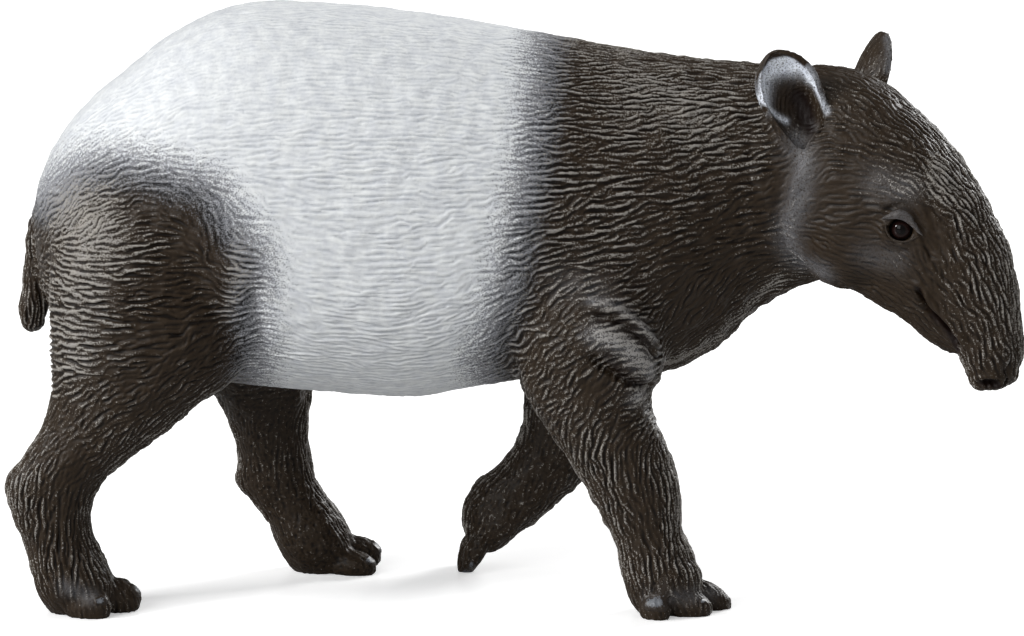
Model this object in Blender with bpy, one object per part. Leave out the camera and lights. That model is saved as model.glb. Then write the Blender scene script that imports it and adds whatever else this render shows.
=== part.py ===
"""A moulded vinyl toy figure of a Malayan tapir, walking, with its head turned to its right.

The figure is modelled whole from rounded masses, which are joined, blended and then parted with thin cuts
where a person would name its parts. +X runs towards the head, +Y to the animal's left and +Z up. The sizes
below are in millimetres, and MM turns them into Blender's metres.
"""

import math
from typing import NamedTuple

import bmesh
import bpy
import numpy as np
from mathutils import Matrix, Vector

MM = 0.001
GAP = 0.3  # clearance left by every parting cut
FAR = 90.0  # half the side of a cutter that reaches past the whole figure
REGION_OUTER = 24.0  # how far sideways the cutters of the legs reach

RING_POINTS = 36
SMALL_RING_POINTS = 20
STEPS = 5  # rings of a mass for each stretch between two rows of its table
BLEND_VOXEL = 0.42
BLEND_PASSES = 18
BLEND_SWELL = 0.12  # gives back what the blending takes away
BODY_TRIANGLES = 8200

HEAD_PIVOT = Vector((24.0, 0.0, 0.0))
HEAD_TURN = math.radians(-25.0)
CHEEK_PLACE = (12.8, 3.0, 41.3)
CHEEK_RADII = (6.4, 4.5, 7.8)
SHARP_ANGLE = math.radians(50.0)


class Trunk(NamedTuple):
    """An upright ring of the trunk or neck: its place along and across, and its heights and half width."""

    x: float
    y: float
    top: float
    widest: float
    bottom: float
    half: float


class Limb(NamedTuple):
    """A level ring of a leg: its height, its rear and front ends, its middle and its half width."""

    z: float
    rear: float
    front: float
    y: float
    half: float


class Skull(NamedTuple):
    """A ring across the head's bent middle line: its place ahead and up, its reaches and its half width."""

    ahead: float
    z: float
    above: float
    below: float
    half: float


TRUNK = (
    Trunk(-49.0, 0.0, 41.5, 38.5, 36.0, 2.5),
    Trunk(-48.2, 0.0, 44.2, 38.3, 32.5, 5.6),
    Trunk(-46.5, 0.0, 47.8, 38.2, 28.7, 8.8),
    Trunk(-43.4, 0.0, 51.6, 38.0, 25.8, 11.4),
    Trunk(-39.2, 0.0, 55.1, 38.0, 24.2, 13.2),
    Trunk(-34.1, 0.0, 59.0, 38.0, 23.3, 14.4),
    Trunk(-27.9, 0.0, 61.5, 37.6, 22.6, 15.2),
    Trunk(-19.0, 0.0, 61.6, 37.0, 21.8, 15.8),
    Trunk(-10.0, 0.0, 60.7, 36.8, 21.3, 15.7),
    Trunk(-1.0, 0.0, 59.2, 37.2, 22.8, 14.9),
    Trunk(8.0, 0.0, 57.5, 38.2, 23.9, 13.6),
    Trunk(15.0, 0.0, 56.3, 39.6, 23.5, 12.2),
    Trunk(20.5, -0.3, 55.7, 41.2, 25.9, 10.2),
    Trunk(25.5, -1.0, 55.3, 42.8, 30.7, 8.6),
    Trunk(30.0, -2.8, 54.6, 44.0, 33.2, 7.4),
    Trunk(34.0, -4.8, 52.5, 44.5, 34.8, 5.8),
)

SKULL = (
    Skull(3.0, 44.3, 9.5, 8.0, 5.8),
    Skull(6.0, 44.4, 11.0, 9.6, 7.0),
    Skull(10.0, 44.2, 11.2, 9.6, 7.5),
    Skull(15.0, 42.3, 9.4, 9.0, 7.1),
    Skull(18.8, 39.2, 8.2, 7.7, 6.3),
    Skull(21.8, 36.0, 7.2, 7.0, 5.3),
    Skull(24.0, 32.9, 6.1, 5.8, 4.5),
    Skull(25.5, 30.1, 4.8, 3.2, 4.0),
    Skull(26.7, 27.6, 3.8, 2.2, 3.6),
    Skull(27.1, 25.6, 3.1, 1.9, 3.3),
    Skull(27.4, 24.0, 2.4, 1.6, 2.7),
)

JAW = (
    Skull(12.0, 36.5, 3.0, 2.5, 4.8),
    Skull(16.0, 34.0, 3.2, 2.1, 4.2),
    Skull(20.0, 31.3, 2.4, 1.6, 3.2),
    Skull(22.6, 29.3, 1.7, 1.8, 2.5),
    Skull(24.0, 28.1, 1.0, 1.3, 1.6),
)

HIND_RIGHT = (
    Limb(47.0, -41.5, -32.5, -6.2, 3.4),
    Limb(41.0, -46.2, -28.6, -7.8, 6.2),
    Limb(33.0, -47.0, -27.2, -8.8, 6.9),
    Limb(27.3, -46.9, -26.7, -9.0, 6.8),
    Limb(24.2, -46.8, -28.9, -9.1, 6.2),
    Limb(22.1, -47.0, -31.9, -9.2, 5.6),
    Limb(20.0, -47.6, -34.2, -9.3, 5.1),
    Limb(18.0, -48.6, -36.9, -9.4, 4.6),
    Limb(15.9, -50.0, -39.8, -9.5, 4.2),
    Limb(13.2, -51.7, -42.3, -9.5, 3.7),
    Limb(11.2, -51.4, -43.2, -9.5, 3.4),
    Limb(7.5, -49.9, -43.0, -9.5, 3.4),
    Limb(5.0, -49.3, -41.7, -9.5, 3.7),
    Limb(2.5, -48.7, -40.6, -9.5, 3.8),
    Limb(1.0, -48.1, -40.8, -9.3, 3.1),
    Limb(-0.8, -46.6, -42.0, -9.1, 1.8),
)

HIND_LEFT = (
    Limb(47.0, -38.5, -29.5, 6.2, 3.4),
    Limb(40.0, -42.5, -24.5, 8.0, 6.2),
    Limb(33.0, -41.5, -22.4, 8.9, 6.9),
    Limb(27.0, -38.0, -21.0, 9.2, 6.4),
    Limb(23.0, -34.5, -20.9, 9.6, 5.6),
    Limb(19.6, -31.6, -21.3, 10.0, 4.7),
    Limb(16.0, -29.7, -21.6, 10.3, 4.1),
    Limb(12.0, -28.8, -21.5, 10.4, 3.7),
    Limb(9.6, -29.1, -20.8, 10.4, 3.5),
    Limb(7.7, -27.7, -19.6, 10.4, 3.4),
    Limb(5.4, -25.6, -18.0, 10.4, 3.7),
    Limb(3.0, -24.8, -16.8, 10.5, 4.0),
    Limb(1.0, -23.9, -16.4, 10.6, 3.3),
    Limb(-0.8, -22.2, -17.2, 10.8, 2.2),
)

FORE_RIGHT = (
    Limb(44.0, 3.5, 11.0, -5.6, 3.6),
    Limb(38.0, 0.9, 13.2, -7.6, 5.4),
    Limb(32.5, 0.3, 14.7, -8.6, 6.1),
    Limb(27.5, 0.0, 15.4, -9.1, 5.9),
    Limb(24.7, 0.7, 15.2, -9.3, 5.3),
    Limb(22.8, 1.5, 14.0, -9.4, 4.9),
    Limb(19.5, 3.5, 14.8, -9.5, 4.5),
    Limb(15.4, 6.4, 16.5, -9.5, 4.0),
    Limb(12.5, 8.1, 17.2, -9.5, 3.8),
    Limb(8.6, 10.1, 17.3, -9.5, 3.5),
    Limb(5.9, 11.1, 18.5, -9.5, 3.7),
    Limb(3.3, 11.6, 19.4, -9.5, 3.8),
    Limb(1.2, 12.2, 19.2, -9.3, 3.2),
    Limb(-0.8, 13.8, 18.0, -9.1, 1.8),
)

FORE_LEFT = (
    Limb(44.0, 3.5, 11.0, 5.6, 3.6),
    Limb(38.0, 0.9, 13.2, 7.6, 5.4),
    Limb(32.5, 0.3, 14.7, 8.6, 6.1),
    Limb(27.0, 0.2, 14.0, 9.2, 5.7),
    Limb(22.5, 1.2, 11.8, 9.6, 4.9),
    Limb(18.5, 1.6, 10.0, 10.0, 4.4),
    Limb(14.2, 0.8, 9.2, 10.3, 3.9),
    Limb(11.4, -1.0, 8.2, 10.4, 3.6),
    Limb(9.6, -3.5, 7.2, 10.4, 3.4),
    Limb(7.4, -4.9, 4.6, 10.4, 3.5),
    Limb(5.4, -5.0, 2.3, 10.4, 3.6),
    Limb(3.6, -4.8, -0.1, 10.4, 3.4),
    Limb(2.4, -4.6, -1.2, 10.4, 2.8),
)

LIMBS = {
    "hind_leg_right": HIND_RIGHT,
    "hind_leg_left": HIND_LEFT,
    "fore_leg_right": FORE_RIGHT,
    "fore_leg_left": FORE_LEFT,
}
FETLOCK = 8.4  # height at which each foot is parted from its leg
LEG_CAP = ((2.6, 3.4), (2.1, 1.9), (1.2, 0.7))  # rises and insets that round off the top of a leg's region
LEG_MARGIN = 1.0  # how far a leg's region reaches past its rings
INNER_LOW = 1.2  # from the middle plane to a leg's region below the belly
INNER_RISE = 5.3  # and how much further out it starts on the trunk's side
BELLY = 23.5
BELLY_DEPTH = 5.0
UNDER_FLOOR = -5.0

BUDGETS = {  # most triangles of each kind of node
    "torso": 2700,
    "neck": 800,
    "head": 1900,
    "lower_jaw": 220,
    "snout": 1000,
    "tail": 300,
    "ear": 620,
    "hind_leg": 1050,
    "fore_leg": 950,
    "hind_foot": 520,
    "fore_foot": 520,
    "hind_toe": 130,
    "fore_toe": 130,
}


FINISHES = {  # linear colour and roughness of each kind of node
    "torso": ((0.72, 0.75, 0.78), 0.5),
    "eye": ((0.01, 0.007, 0.005), 0.1),
    "ear": ((0.06, 0.06, 0.065), 0.5),
    "": ((0.032, 0.027, 0.021), 0.5),
}


class Toe(NamedTuple):
    """An egg-shaped toe: its centre, its radii, and its turn about Z and dip forwards in degrees."""

    centre: tuple
    radii: tuple
    turn: float = 0.0
    dip: float = 0.0


TOES = {  # the first toe of each foot is whole, and each later one makes room for those before it
    "hind_foot_right": {
        "middle": Toe((-41.0, -9.2, 1.4), (3.0, 1.75, 2.1), 0, 8),
        "outer": Toe((-43.5, -11.8, 1.2), (2.7, 1.6, 2.0), -14, 8),
        "inner": Toe((-43.2, -6.7, 1.2), (2.6, 1.6, 1.9), 12, 8),
    },
    "hind_foot_left": {
        "middle": Toe((-16.6, 11.1, 1.5), (2.8, 1.75, 2.0), 2, 8),
        "inner": Toe((-17.1, 8.4, 1.0), (2.9, 1.6, 1.6), -8, 8),
        "outer": Toe((-18.6, 13.7, 1.2), (2.6, 1.6, 1.9), 14, 8),
    },
    "fore_foot_right": {
        "middle": Toe((18.9, -8.2, 1.2), (3.9, 1.75, 2.0), 2, 16),
        "side": Toe((17.3, -10.9, 1.1), (3.4, 1.65, 1.8), -10, 10),
        "inner": Toe((17.3, -5.8, 1.0), (2.8, 1.5, 1.8), 16, 10),
        "outer": Toe((14.6, -12.7, 0.9), (1.8, 1.2, 1.5), -25, 8),
    },
    "fore_foot_left": {
        "middle": Toe((-4.2, 9.5, 2.1), (2.7, 1.2, 1.25), 0, -66),
        "side": Toe((-4.2, 11.7, 2.1), (2.7, 1.15, 1.2), 0, -66),
        "inner": Toe((-3.8, 7.5, 2.7), (2.4, 1.0, 1.1), 0, -64),
        "outer": Toe((-3.6, 13.6, 3.0), (2.2, 1.0, 1.1), 0, -64),
    },
}

TAIL = (
    (-45.6, 42.6, 1.6),
    (-47.4, 41.2, 1.35),
    (-48.8, 38.5, 1.1),
    (-49.2, 35.0, 1.1),
    (-49.4, 31.5, 1.3),
    (-49.55, 29.3, 1.35),
    (-49.6, 28.1, 0.95),
    (-49.6, 27.6, 0.4),
)
TAIL_WIDTH = 1.15  # its width as a share of its depth


class EarRing(NamedTuple):
    """A ring of an ear: its place from root to tip, half width, depth outside and depth of the cup."""

    along: float
    half: float
    back: float
    cup: float


EAR_RINGS = (
    EarRing(-0.14, 1.9, 1.7, 0.1),
    EarRing(0.02, 2.3, 2.2, 0.3),
    EarRing(0.18, 2.8, 2.6, 1.4),
    EarRing(0.38, 3.2, 2.6, 1.8),
    EarRing(0.58, 3.35, 2.3, 1.5),
    EarRing(0.76, 3.0, 1.8, 1.1),
    EarRing(0.90, 2.1, 1.3, 0.6),
    EarRing(0.98, 1.0, 0.85, 0.0),
    EarRing(1.0, 0.5, 0.55, -0.25),
)
EAR_RIM = 0.65  # thickness of the rim
EAR_RIM_RISE = 0.25  # how far the rim stands ahead of the ear's middle line
EAR_POINTS = 13  # along each face of a ring
EAR_PLUG_FRONT = 0.3
EAR_BEND = 0.9  # how far the tip bends back
EAR_ROOTS = {"ear_right": (10.0, 6.3, 48.8), "ear_left": (10.9, 5.8, 49.2)}  # sideways measured outwards
EAR_LINES = {"ear_right": (-3.3, 2.5, 9.1), "ear_left": (1.9, 3.2, 8.8)}  # root to tip
EAR_OPENINGS = {"ear_right": (0.512, 0.856, -0.068), "ear_left": (0.75, 0.66, -0.1)}

EYE_PLACE = (19.4, 5.25, 40.4)
EYE_RADIUS = 1.3
LID_RADIUS = 1.62
LID_THICKNESS = 0.46
LID_RISE = 0.85  # from the eye's middle to the plane of the lid's rim
LID_FACING = (0.3, 1.0, -0.08)
LID_STRETCH = (1.12, 0.86, 1.0)
SOCKET_GAP = 0.2
NOSTRIL_PLACE = (28.6, 1.5, 24.9)
NOSTRIL_RADII = (1.3, 0.65, 0.55)

HEAD_PLANE = 6.8  # ahead of the pivot, where the head is parted from the neck
NECK_PLANE = 13.0
SNOUT_LINE = ((22.3, 43.0), (25.3, 24.5))
MOUTH = (
    (14.2, 34.6),
    (18.6, 35.0),
    (19.9, 32.4),
    (21.6, 30.6),
    (23.3, 28.9),
    (24.75, 26.6),
    (25.0, 22.0),
    (14.0, 22.0),
)


def clear_scene():
    """Removes what the startup file holds."""
    for old in list(bpy.data.objects):
        bpy.data.objects.remove(old, do_unlink=True)


def object_of(name, points, faces):
    """A mesh object in the scene from points in millimetres."""
    mesh = bpy.data.meshes.new(name)
    mesh.from_pydata([Vector(p) * MM for p in points], [], faces)
    work = bmesh.new()
    work.from_mesh(mesh)
    bmesh.ops.recalc_face_normals(work, faces=work.faces)
    work.to_mesh(mesh)
    work.free()
    made = bpy.data.objects.new(name, mesh)
    bpy.context.scene.collection.objects.link(made)
    return made


def discard(*objects):
    """Deletes helpers once their shape is used."""
    for old in objects:
        bpy.data.objects.remove(old, do_unlink=True)


def add_modifier(thing, kind, **settings):
    """Adds a modifier and sets its values."""
    modifier = thing.modifiers.new(kind.title(), kind)
    for key, value in settings.items():
        setattr(modifier, key, value)
    return modifier


def apply_modifiers(thing):
    """Replaces the object's mesh by its evaluated one."""
    graph = bpy.context.evaluated_depsgraph_get()
    mesh = bpy.data.meshes.new_from_object(thing.evaluated_get(graph))
    thing.modifiers.clear()
    thing.data = mesh


def triangulate(thing):
    """Splits every face of the object's mesh into triangles."""
    work = bmesh.new()
    work.from_mesh(thing.data)
    bmesh.ops.triangulate(work, faces=work.faces)
    work.to_mesh(thing.data)
    work.free()


def combine(thing, other, operation):
    """Applies one exact Boolean of thing with other, which is kept."""
    add_modifier(thing, "BOOLEAN", operation=operation, solver="EXACT", object=other)
    apply_modifiers(thing)
    return thing


def join(name, pieces):
    """Unites overlapping closed pieces into the first one, and deletes the rest."""
    group = bpy.data.collections.new(name + "_pieces")
    bpy.context.scene.collection.children.link(group)
    whole, others = pieces[0], pieces[1:]
    for other in others:
        group.objects.link(other)
    choices = {"operation": "UNION", "solver": "EXACT", "operand_type": "COLLECTION"}
    add_modifier(whole, "BOOLEAN", collection=group, **choices)
    apply_modifiers(whole)
    discard(*others)
    bpy.data.collections.remove(group)
    whole.name = name
    return whole


def copy_of(thing, name):
    """A second object with its own copy of the mesh."""
    made = bpy.data.objects.new(name, thing.data.copy())
    bpy.context.scene.collection.objects.link(made)
    return made


def keep_largest(thing):
    """Drops every closed surface of the object but the largest."""
    work = bmesh.new()
    work.from_mesh(thing.data)
    left, groups = set(work.verts), []
    while left:
        front = [left.pop()]
        group = set(front)
        while front:
            for edge in front.pop().link_edges:
                for vert in edge.verts:
                    if vert in left:
                        left.discard(vert)
                        group.add(vert)
                        front.append(vert)
        groups.append(group)
    groups.sort(key=len)
    bmesh.ops.delete(work, geom=[v for group in groups[:-1] for v in group], context="VERTS")
    work.to_mesh(thing.data)
    work.free()
    return thing


def smooth_rows(rows, steps=STEPS):
    """Rows read from a smooth curve through the given ones, several for each stretch between two."""
    table = np.array(rows, float)
    step = np.linalg.norm(np.diff(table, axis=0), axis=1)
    along = np.concatenate([[0.0], np.cumsum(step)])
    slope = np.gradient(table, along, axis=0)
    made = []
    for i, length in enumerate(step):
        for t in np.arange(steps) / steps:
            ease = t * t * (3 - 2 * t)
            start, end = t * (1 - t) ** 2 * length, -t * t * (1 - t) * length
            made.append(table[i] * (1 - ease) + table[i + 1] * ease + slope[i] * start + slope[i + 1] * end)
    return made + [table[-1]]


def ring(centre, across, up, half, above, below, power=2.25, count=RING_POINTS):
    """Points of a closed oval whose upper and lower reaches differ. A power over 2 fills its corners."""
    points = []
    for k in range(count):
        angle = 2 * math.pi * k / count
        c, s = math.cos(angle), math.sin(angle)
        side = math.copysign(abs(c) ** (2 / power), c) * half
        rise = math.copysign(abs(s) ** (2 / power), s) * (above if s > 0 else below)
        points.append(centre + across * side + up * rise)
    return points


def loft(name, rings):
    """A closed skin through rings of equal length, with a flat cap at each end."""
    points = [p for one in rings for p in one]
    count = len(rings[0])
    faces = [list(range(count)), [len(points) - 1 - k for k in range(count)]]
    for r in range(len(rings) - 1):
        for k in range(count):
            a, b = r * count + k, r * count + (k + 1) % count
            faces.append([a, b, b + count, a + count])
    return object_of(name, points, faces)


def trunk_mass():
    """The barrel, rump, chest and neck."""
    rings = []
    for x, y, top, widest, bottom, half in smooth_rows(TRUNK):
        centre, side, up = Vector((x, y, widest)), Vector((0, 1, 0)), Vector((0, 0, 1))
        rings.append(ring(centre, side, up, half, top - widest, widest - bottom))
    return loft("trunk", rings)


def limb_mass(name, rows):
    """One leg with its haunch or shoulder, as level rings."""
    rings = []
    for z, rear, front, y, half in smooth_rows(rows):
        centre = Vector(((rear + front) / 2, y, z))
        reach = (front - rear) / 2
        rings.append(ring(centre, Vector((0, 1, 0)), Vector((1, 0, 0)), half, reach, reach))
    return loft(name, rings)


def turned(point):
    """A point of the straight head, ahead of the neck's pivot, as the turned head carries it."""
    return HEAD_PIVOT + Matrix.Rotation(HEAD_TURN, 3, "Z") @ Vector(point)


def turned_way(way):
    """A direction of the straight head as the turned head carries it."""
    return Matrix.Rotation(HEAD_TURN, 3, "Z") @ Vector(way)


def skull_mass(name, rows):
    """A mass of the head, as rings square to its middle line."""
    rows = smooth_rows(rows)
    line = np.array([row[:2] for row in rows])
    ways = np.gradient(line, axis=0)
    rings = []
    for (ahead, z, above, below, half), way in zip(rows, ways, strict=True):
        way = way / np.linalg.norm(way)
        up = turned_way((-way[1], 0, way[0]))
        rings.append(ring(turned((ahead, 0, z)), turned_way((0, 1, 0)), up, half, above, below))
    return loft(name, rings)


def ball(name, centre, radii, turn=0.0):
    """An ellipsoid, turned about Z."""
    bpy.ops.mesh.primitive_uv_sphere_add(segments=20, ring_count=14, radius=1.0)
    made = bpy.context.object
    made.name = name
    place = Matrix.Translation(Vector(centre) * MM) @ Matrix.Rotation(turn, 4, "Z")
    made.data.transform(place @ Matrix.Diagonal((*(Vector(radii) * MM), 1.0)))
    return made


def blended_body():
    """The whole body without ears, eyes, tail and toes, its masses joined and their joints softened."""
    masses = [
        trunk_mass(),
        skull_mass("skull", SKULL),
        skull_mass("jaw", JAW),
        limb_mass("hind_right", HIND_RIGHT),
        limb_mass("hind_left", HIND_LEFT),
        limb_mass("fore_right", FORE_RIGHT),
        limb_mass("fore_left", FORE_LEFT),
    ]
    for side in (-1, 1):
        ahead, across, z = CHEEK_PLACE
        masses.append(ball("cheek", turned((ahead, side * across, z)), CHEEK_RADII, HEAD_TURN))
    body = join("body", masses)
    add_modifier(body, "REMESH", mode="VOXEL", voxel_size=BLEND_VOXEL * MM)
    add_modifier(body, "SMOOTH", factor=0.5, iterations=BLEND_PASSES)
    add_modifier(body, "DISPLACE", strength=BLEND_SWELL * MM, mid_level=0.0)
    apply_modifiers(body)
    triangulate(body)
    add_modifier(body, "DECIMATE", ratio=BODY_TRIANGLES / len(body.data.polygons))
    apply_modifiers(body)
    return body


def egg(name, toe, grow=0.0):
    """A toe's egg shape, larger by grow all round."""
    bpy.ops.mesh.primitive_uv_sphere_add(segments=16, ring_count=10, radius=1.0)
    made = bpy.context.object
    made.name = name
    turn = Matrix.Rotation(math.radians(toe.turn), 4, "Z") @ Matrix.Rotation(math.radians(toe.dip), 4, "Y")
    size = (*((r + grow) * MM for r in toe.radii), 1.0)
    made.data.transform(Matrix.Translation(Vector(toe.centre) * MM) @ turn @ Matrix.Diagonal(size))
    return made


def box(name, low, high):
    """A box between two corners."""
    bpy.ops.mesh.primitive_cube_add(size=1.0)
    made = bpy.context.object
    made.name = name
    low, high = Vector(low) * MM, Vector(high) * MM
    made.data.transform(Matrix.Translation((low + high) / 2) @ Matrix.Diagonal((*(high - low), 1.0)))
    return made


def prism(name, outline, grow=0.0):
    """A block across the turned head, whose outline is given ahead and up, and which is wider by grow."""
    count = len(outline)
    sides = []
    for k in range(count):
        start, end = Vector(outline[k]), Vector(outline[(k + 1) % count])
        way = (end - start).normalized()
        out = Vector((-way.y, way.x))
        sides.append((start + out * grow, way))
    corners = []
    for k in range(count):
        (p, a), (q, b) = sides[k - 1], sides[k]
        reach = (q - p).cross(b) / a.cross(b)
        corners.append(p + a * reach)
    points = [turned((c.x, side, c.y)) for side in (-FAR, FAR) for c in corners]
    faces = [list(range(count)), [2 * count - 1 - k for k in range(count)]]
    faces += [[k, (k + 1) % count, count + (k + 1) % count, count + k] for k in range(count)]
    return object_of(name, points, faces)


def limb_region(name, rows, grow=0.0):
    """The space that a leg takes, with its haunch or shoulder as a shallow cap on the trunk's side."""
    rings = []
    rows = smooth_rows(rows, 2)
    z, rear, front, y, half = rows[0]
    cap = [(z + rise, rear + fall, front - fall, y, half) for rise, fall in LEG_CAP]
    for z, rear, front, y, _ in [*cap, *rows]:
        side = math.copysign(1.0, y)
        inner = INNER_LOW + INNER_RISE * min(1.0, max(0.0, (z - BELLY) / BELLY_DEPTH)) - grow
        centre = Vector(((rear + front) / 2, side * (inner + REGION_OUTER) / 2, z))
        reach, half = (front - rear) / 2 + LEG_MARGIN + grow, (REGION_OUTER - inner) / 2
        side, ahead = Vector((0, 1, 0)), Vector((1, 0, 0))
        rings.append(ring(centre, side, ahead, half, reach, reach, 3.0, SMALL_RING_POINTS))
    rings[0] = [p + Vector((0, 0, grow)) for p in rings[0]]
    lower = [Vector((p.x, p.y, UNDER_FLOOR)) for p in rings[-1]]
    return loft(name, [*rings, lower])


def tail_mass(name, grow=0.0):
    """The hanging tail, a little wider than deep and larger by grow all round."""
    rows = smooth_rows(TAIL, 3)
    line = np.array([row[:2] for row in rows])
    ways = np.gradient(line, axis=0)
    rings = []
    for (x, z, radius), way in zip(rows, ways, strict=True):
        way = way / np.linalg.norm(way)
        across = Vector((-way[1], 0, way[0]))
        reach = radius + grow
        centre, side = Vector((x, 0, z)), Vector((0, 1, 0))
        rings.append(ring(centre, side, across, reach * TAIL_WIDTH, reach, reach, 2.0, SMALL_RING_POINTS))
    return loft(name, rings)


def ear_frame(name):
    """An ear's root, its way to the tip, its width's way and its opening's way, in the turned head."""
    side = -1 if name.endswith("right") else 1
    root, line, opening = (Vector(table[name]) for table in (EAR_ROOTS, EAR_LINES, EAR_OPENINGS))
    for one in (root, line, opening):
        one.y *= side
    along, opening = turned_way(line), turned_way(opening)
    unit = along.normalized()
    opening = (opening - unit * opening.dot(unit)).normalized()
    return turned(root), along, unit.cross(opening), opening


def ear_mass(name):
    """A cupped ear, as rings that run round its back and return inside its cup."""
    root, along, across, opening = ear_frame(name)
    rings = []
    for s, half, back, cup in smooth_rows(EAR_RINGS, 2):
        centre = root + along * s - opening * EAR_BEND * s * abs(s)
        points = []
        for k in range(EAR_POINTS):
            angle = math.pi * k / (EAR_POINTS - 1)
            points.append(centre + across * math.cos(angle) * half - opening * math.sin(angle) * back)
        for k in range(EAR_POINTS):
            angle = math.pi * (1 - k / (EAR_POINTS - 1))
            inside = max(half - EAR_RIM, half * 0.4)
            rise = opening * (EAR_RIM_RISE - math.sin(angle) * (cup + EAR_RIM_RISE))
            points.append(centre + across * math.cos(angle) * inside + rise)
        rings.append(points)
    return loft(name, rings)


def ear_plug(name, grow):
    """The space that an ear's root takes in the head."""
    root, along, across, opening = ear_frame(name)
    rings = []
    for s, half, back, _ in smooth_rows(EAR_RINGS, 1):
        s = s - grow / along.length if s < 0 else s
        centre = root + along * s - opening * EAR_BEND * s * abs(s)
        reaches = (half + grow, EAR_PLUG_FRONT + grow, back + grow)
        rings.append(ring(centre, across, opening, *reaches, 2.0, SMALL_RING_POINTS))
    return loft(name + "_plug", rings)


def eyelid(side):
    """The rim of lid round one eye."""
    bpy.ops.mesh.primitive_torus_add(
        major_segments=28, minor_segments=10, major_radius=LID_RADIUS * MM, minor_radius=LID_THICKNESS * MM
    )
    made = bpy.context.object
    ahead, across, z = EYE_PLACE
    facing = turned_way((LID_FACING[0], side * LID_FACING[1], LID_FACING[2])).normalized()
    centre = turned((ahead, side * across, z)) + facing * LID_RISE
    turn = facing.to_track_quat("Z", "Y").to_matrix().to_4x4()
    made.data.transform(Matrix.Translation(centre * MM) @ turn @ Matrix.Diagonal((*LID_STRETCH, 1.0)))
    return made


def part_off(whole, name, region, wide_region):
    """Takes the part of whole inside region as a node, and clears the wider region from whole."""
    node = copy_of(whole, name)
    combine(node, region, "INTERSECT")
    combine(whole, wide_region, "DIFFERENCE")
    discard(region, wide_region)
    return keep_largest(node)


def hollow(node, cutter):
    """Clears one cutter from a node and deletes the cutter."""
    combine(node, cutter, "DIFFERENCE")
    discard(cutter)


def stand_on_floor(node):
    """Cuts the node level at the floor."""
    hollow(node, box("floor", (-FAR, -FAR, -FAR), (FAR, FAR, 0.0)))


def thin_out(node):
    """Brings a node's triangles down to what its kind is given."""
    for kind, most in BUDGETS.items():
        if node.name.startswith(kind) and len(node.data.polygons) > most:
            add_modifier(node, "DECIMATE", ratio=most / len(node.data.polygons))
            apply_modifiers(node)


def centre_on_floor(nodes):
    """Moves the figure so that the middle of its outline, seen from above, is over the origin."""
    points = np.array([v.co for node in nodes for v in node.data.vertices])
    low, high = points.min(axis=0), points.max(axis=0)
    shift = Matrix.Translation((-(low[0] + high[0]) / 2, -(low[1] + high[1]) / 2, 0.0))
    for node in nodes:
        node.data.transform(shift)


def paint(node):
    """Gives a node its own material, from the finish of its kind."""
    for kind, (colour, roughness) in FINISHES.items():
        if node.name.startswith(kind):
            material = bpy.data.materials.new(node.name + "_paint")
            material.use_nodes = True
            shader = material.node_tree.nodes["Principled BSDF"]
            shader.inputs["Base Color"].default_value = (*colour, 1.0)
            shader.inputs["Roughness"].default_value = roughness
            shader.inputs["Metallic"].default_value = 0.0
            node.data.materials.clear()
            node.data.materials.append(material)
            return


def main():
    """Builds the figure, parts it into its nodes and paints them."""
    clear_scene()
    body = blended_body()
    nodes = []
    for name, rows in LIMBS.items():
        leg = part_off(body, name, limb_region("r", rows), limb_region("w", rows, GAP))
        foot_name = name.replace("_leg_", "_foot_")
        low, high = (-FAR, -FAR, -FAR), (FAR, FAR, FETLOCK)
        higher = (FAR, FAR, FETLOCK + GAP)
        foot = part_off(leg, foot_name, box("r", low, high), box("w", low, higher))
        before = []
        for place, toe in TOES[foot_name].items():
            hollow(foot, egg("wide", toe, GAP))
            digit = egg(foot_name.replace("foot", "toe") + "_" + place, toe)
            for other in before:
                hollow(digit, egg("wide", other, GAP))
            before.append(toe)
            nodes.append(digit)
        nodes += [leg, foot]
    ahead = [(HEAD_PLANE, -FAR), (HEAD_PLANE, FAR), (FAR, FAR), (FAR, -FAR)]
    for side in (-1, 1):
        body = join("body", [body, eyelid(side)])
    head = part_off(body, "head", prism("r", ahead), prism("w", ahead, GAP))
    jaw = part_off(head, "lower_jaw", prism("r", MOUTH), prism("w", MOUTH, GAP))
    (top_x, top_z), (low_x, low_z) = SNOUT_LINE
    slope = (low_x - top_x) / (low_z - top_z)
    rear_edge = [(top_x + slope * (z - top_z), z) for z in (-FAR, FAR)]
    front = [*rear_edge, (FAR * 2, FAR), (FAR * 2, -FAR)]
    snout = part_off(head, "snout", prism("r", front), prism("w", front, GAP))
    for side, word in ((-1, "right"), (1, "left")):
        place = turned((NOSTRIL_PLACE[0], side * NOSTRIL_PLACE[1], NOSTRIL_PLACE[2]))
        hollow(snout, ball("nostril", place, NOSTRIL_RADII, HEAD_TURN))
        place = turned((EYE_PLACE[0], side * EYE_PLACE[1], EYE_PLACE[2]))
        hollow(head, ball("socket", place, [EYE_RADIUS + SOCKET_GAP] * 3))
        nodes.append(ball("eye_" + word, place, [EYE_RADIUS] * 3))
        ear = ear_mass("ear_" + word)
        for near in (head, body):
            hollow(near, ear_plug("ear_" + word, GAP))
        nodes.append(ear)
    low, wide = (NECK_PLANE, -FAR, -FAR), (NECK_PLANE - GAP, -FAR, -FAR)
    neck = part_off(body, "neck", box("r", low, (FAR, FAR, FAR)), box("w", wide, (FAR, FAR, FAR)))
    body.name = "torso"
    hollow(body, tail_mass("wide", GAP))
    nodes += [body, neck, head, jaw, snout, tail_mass("tail")]
    for node in nodes:
        keep_largest(node)
        triangulate(node)
        thin_out(node)
        if "_foot_" in node.name or "_toe_" in node.name:
            stand_on_floor(node)
            triangulate(keep_largest(node))
        node.data.shade_smooth()
        node.data.set_sharp_from_angle(angle=SHARP_ANGLE)
        paint(node)
    centre_on_floor(nodes)


main()
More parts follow.
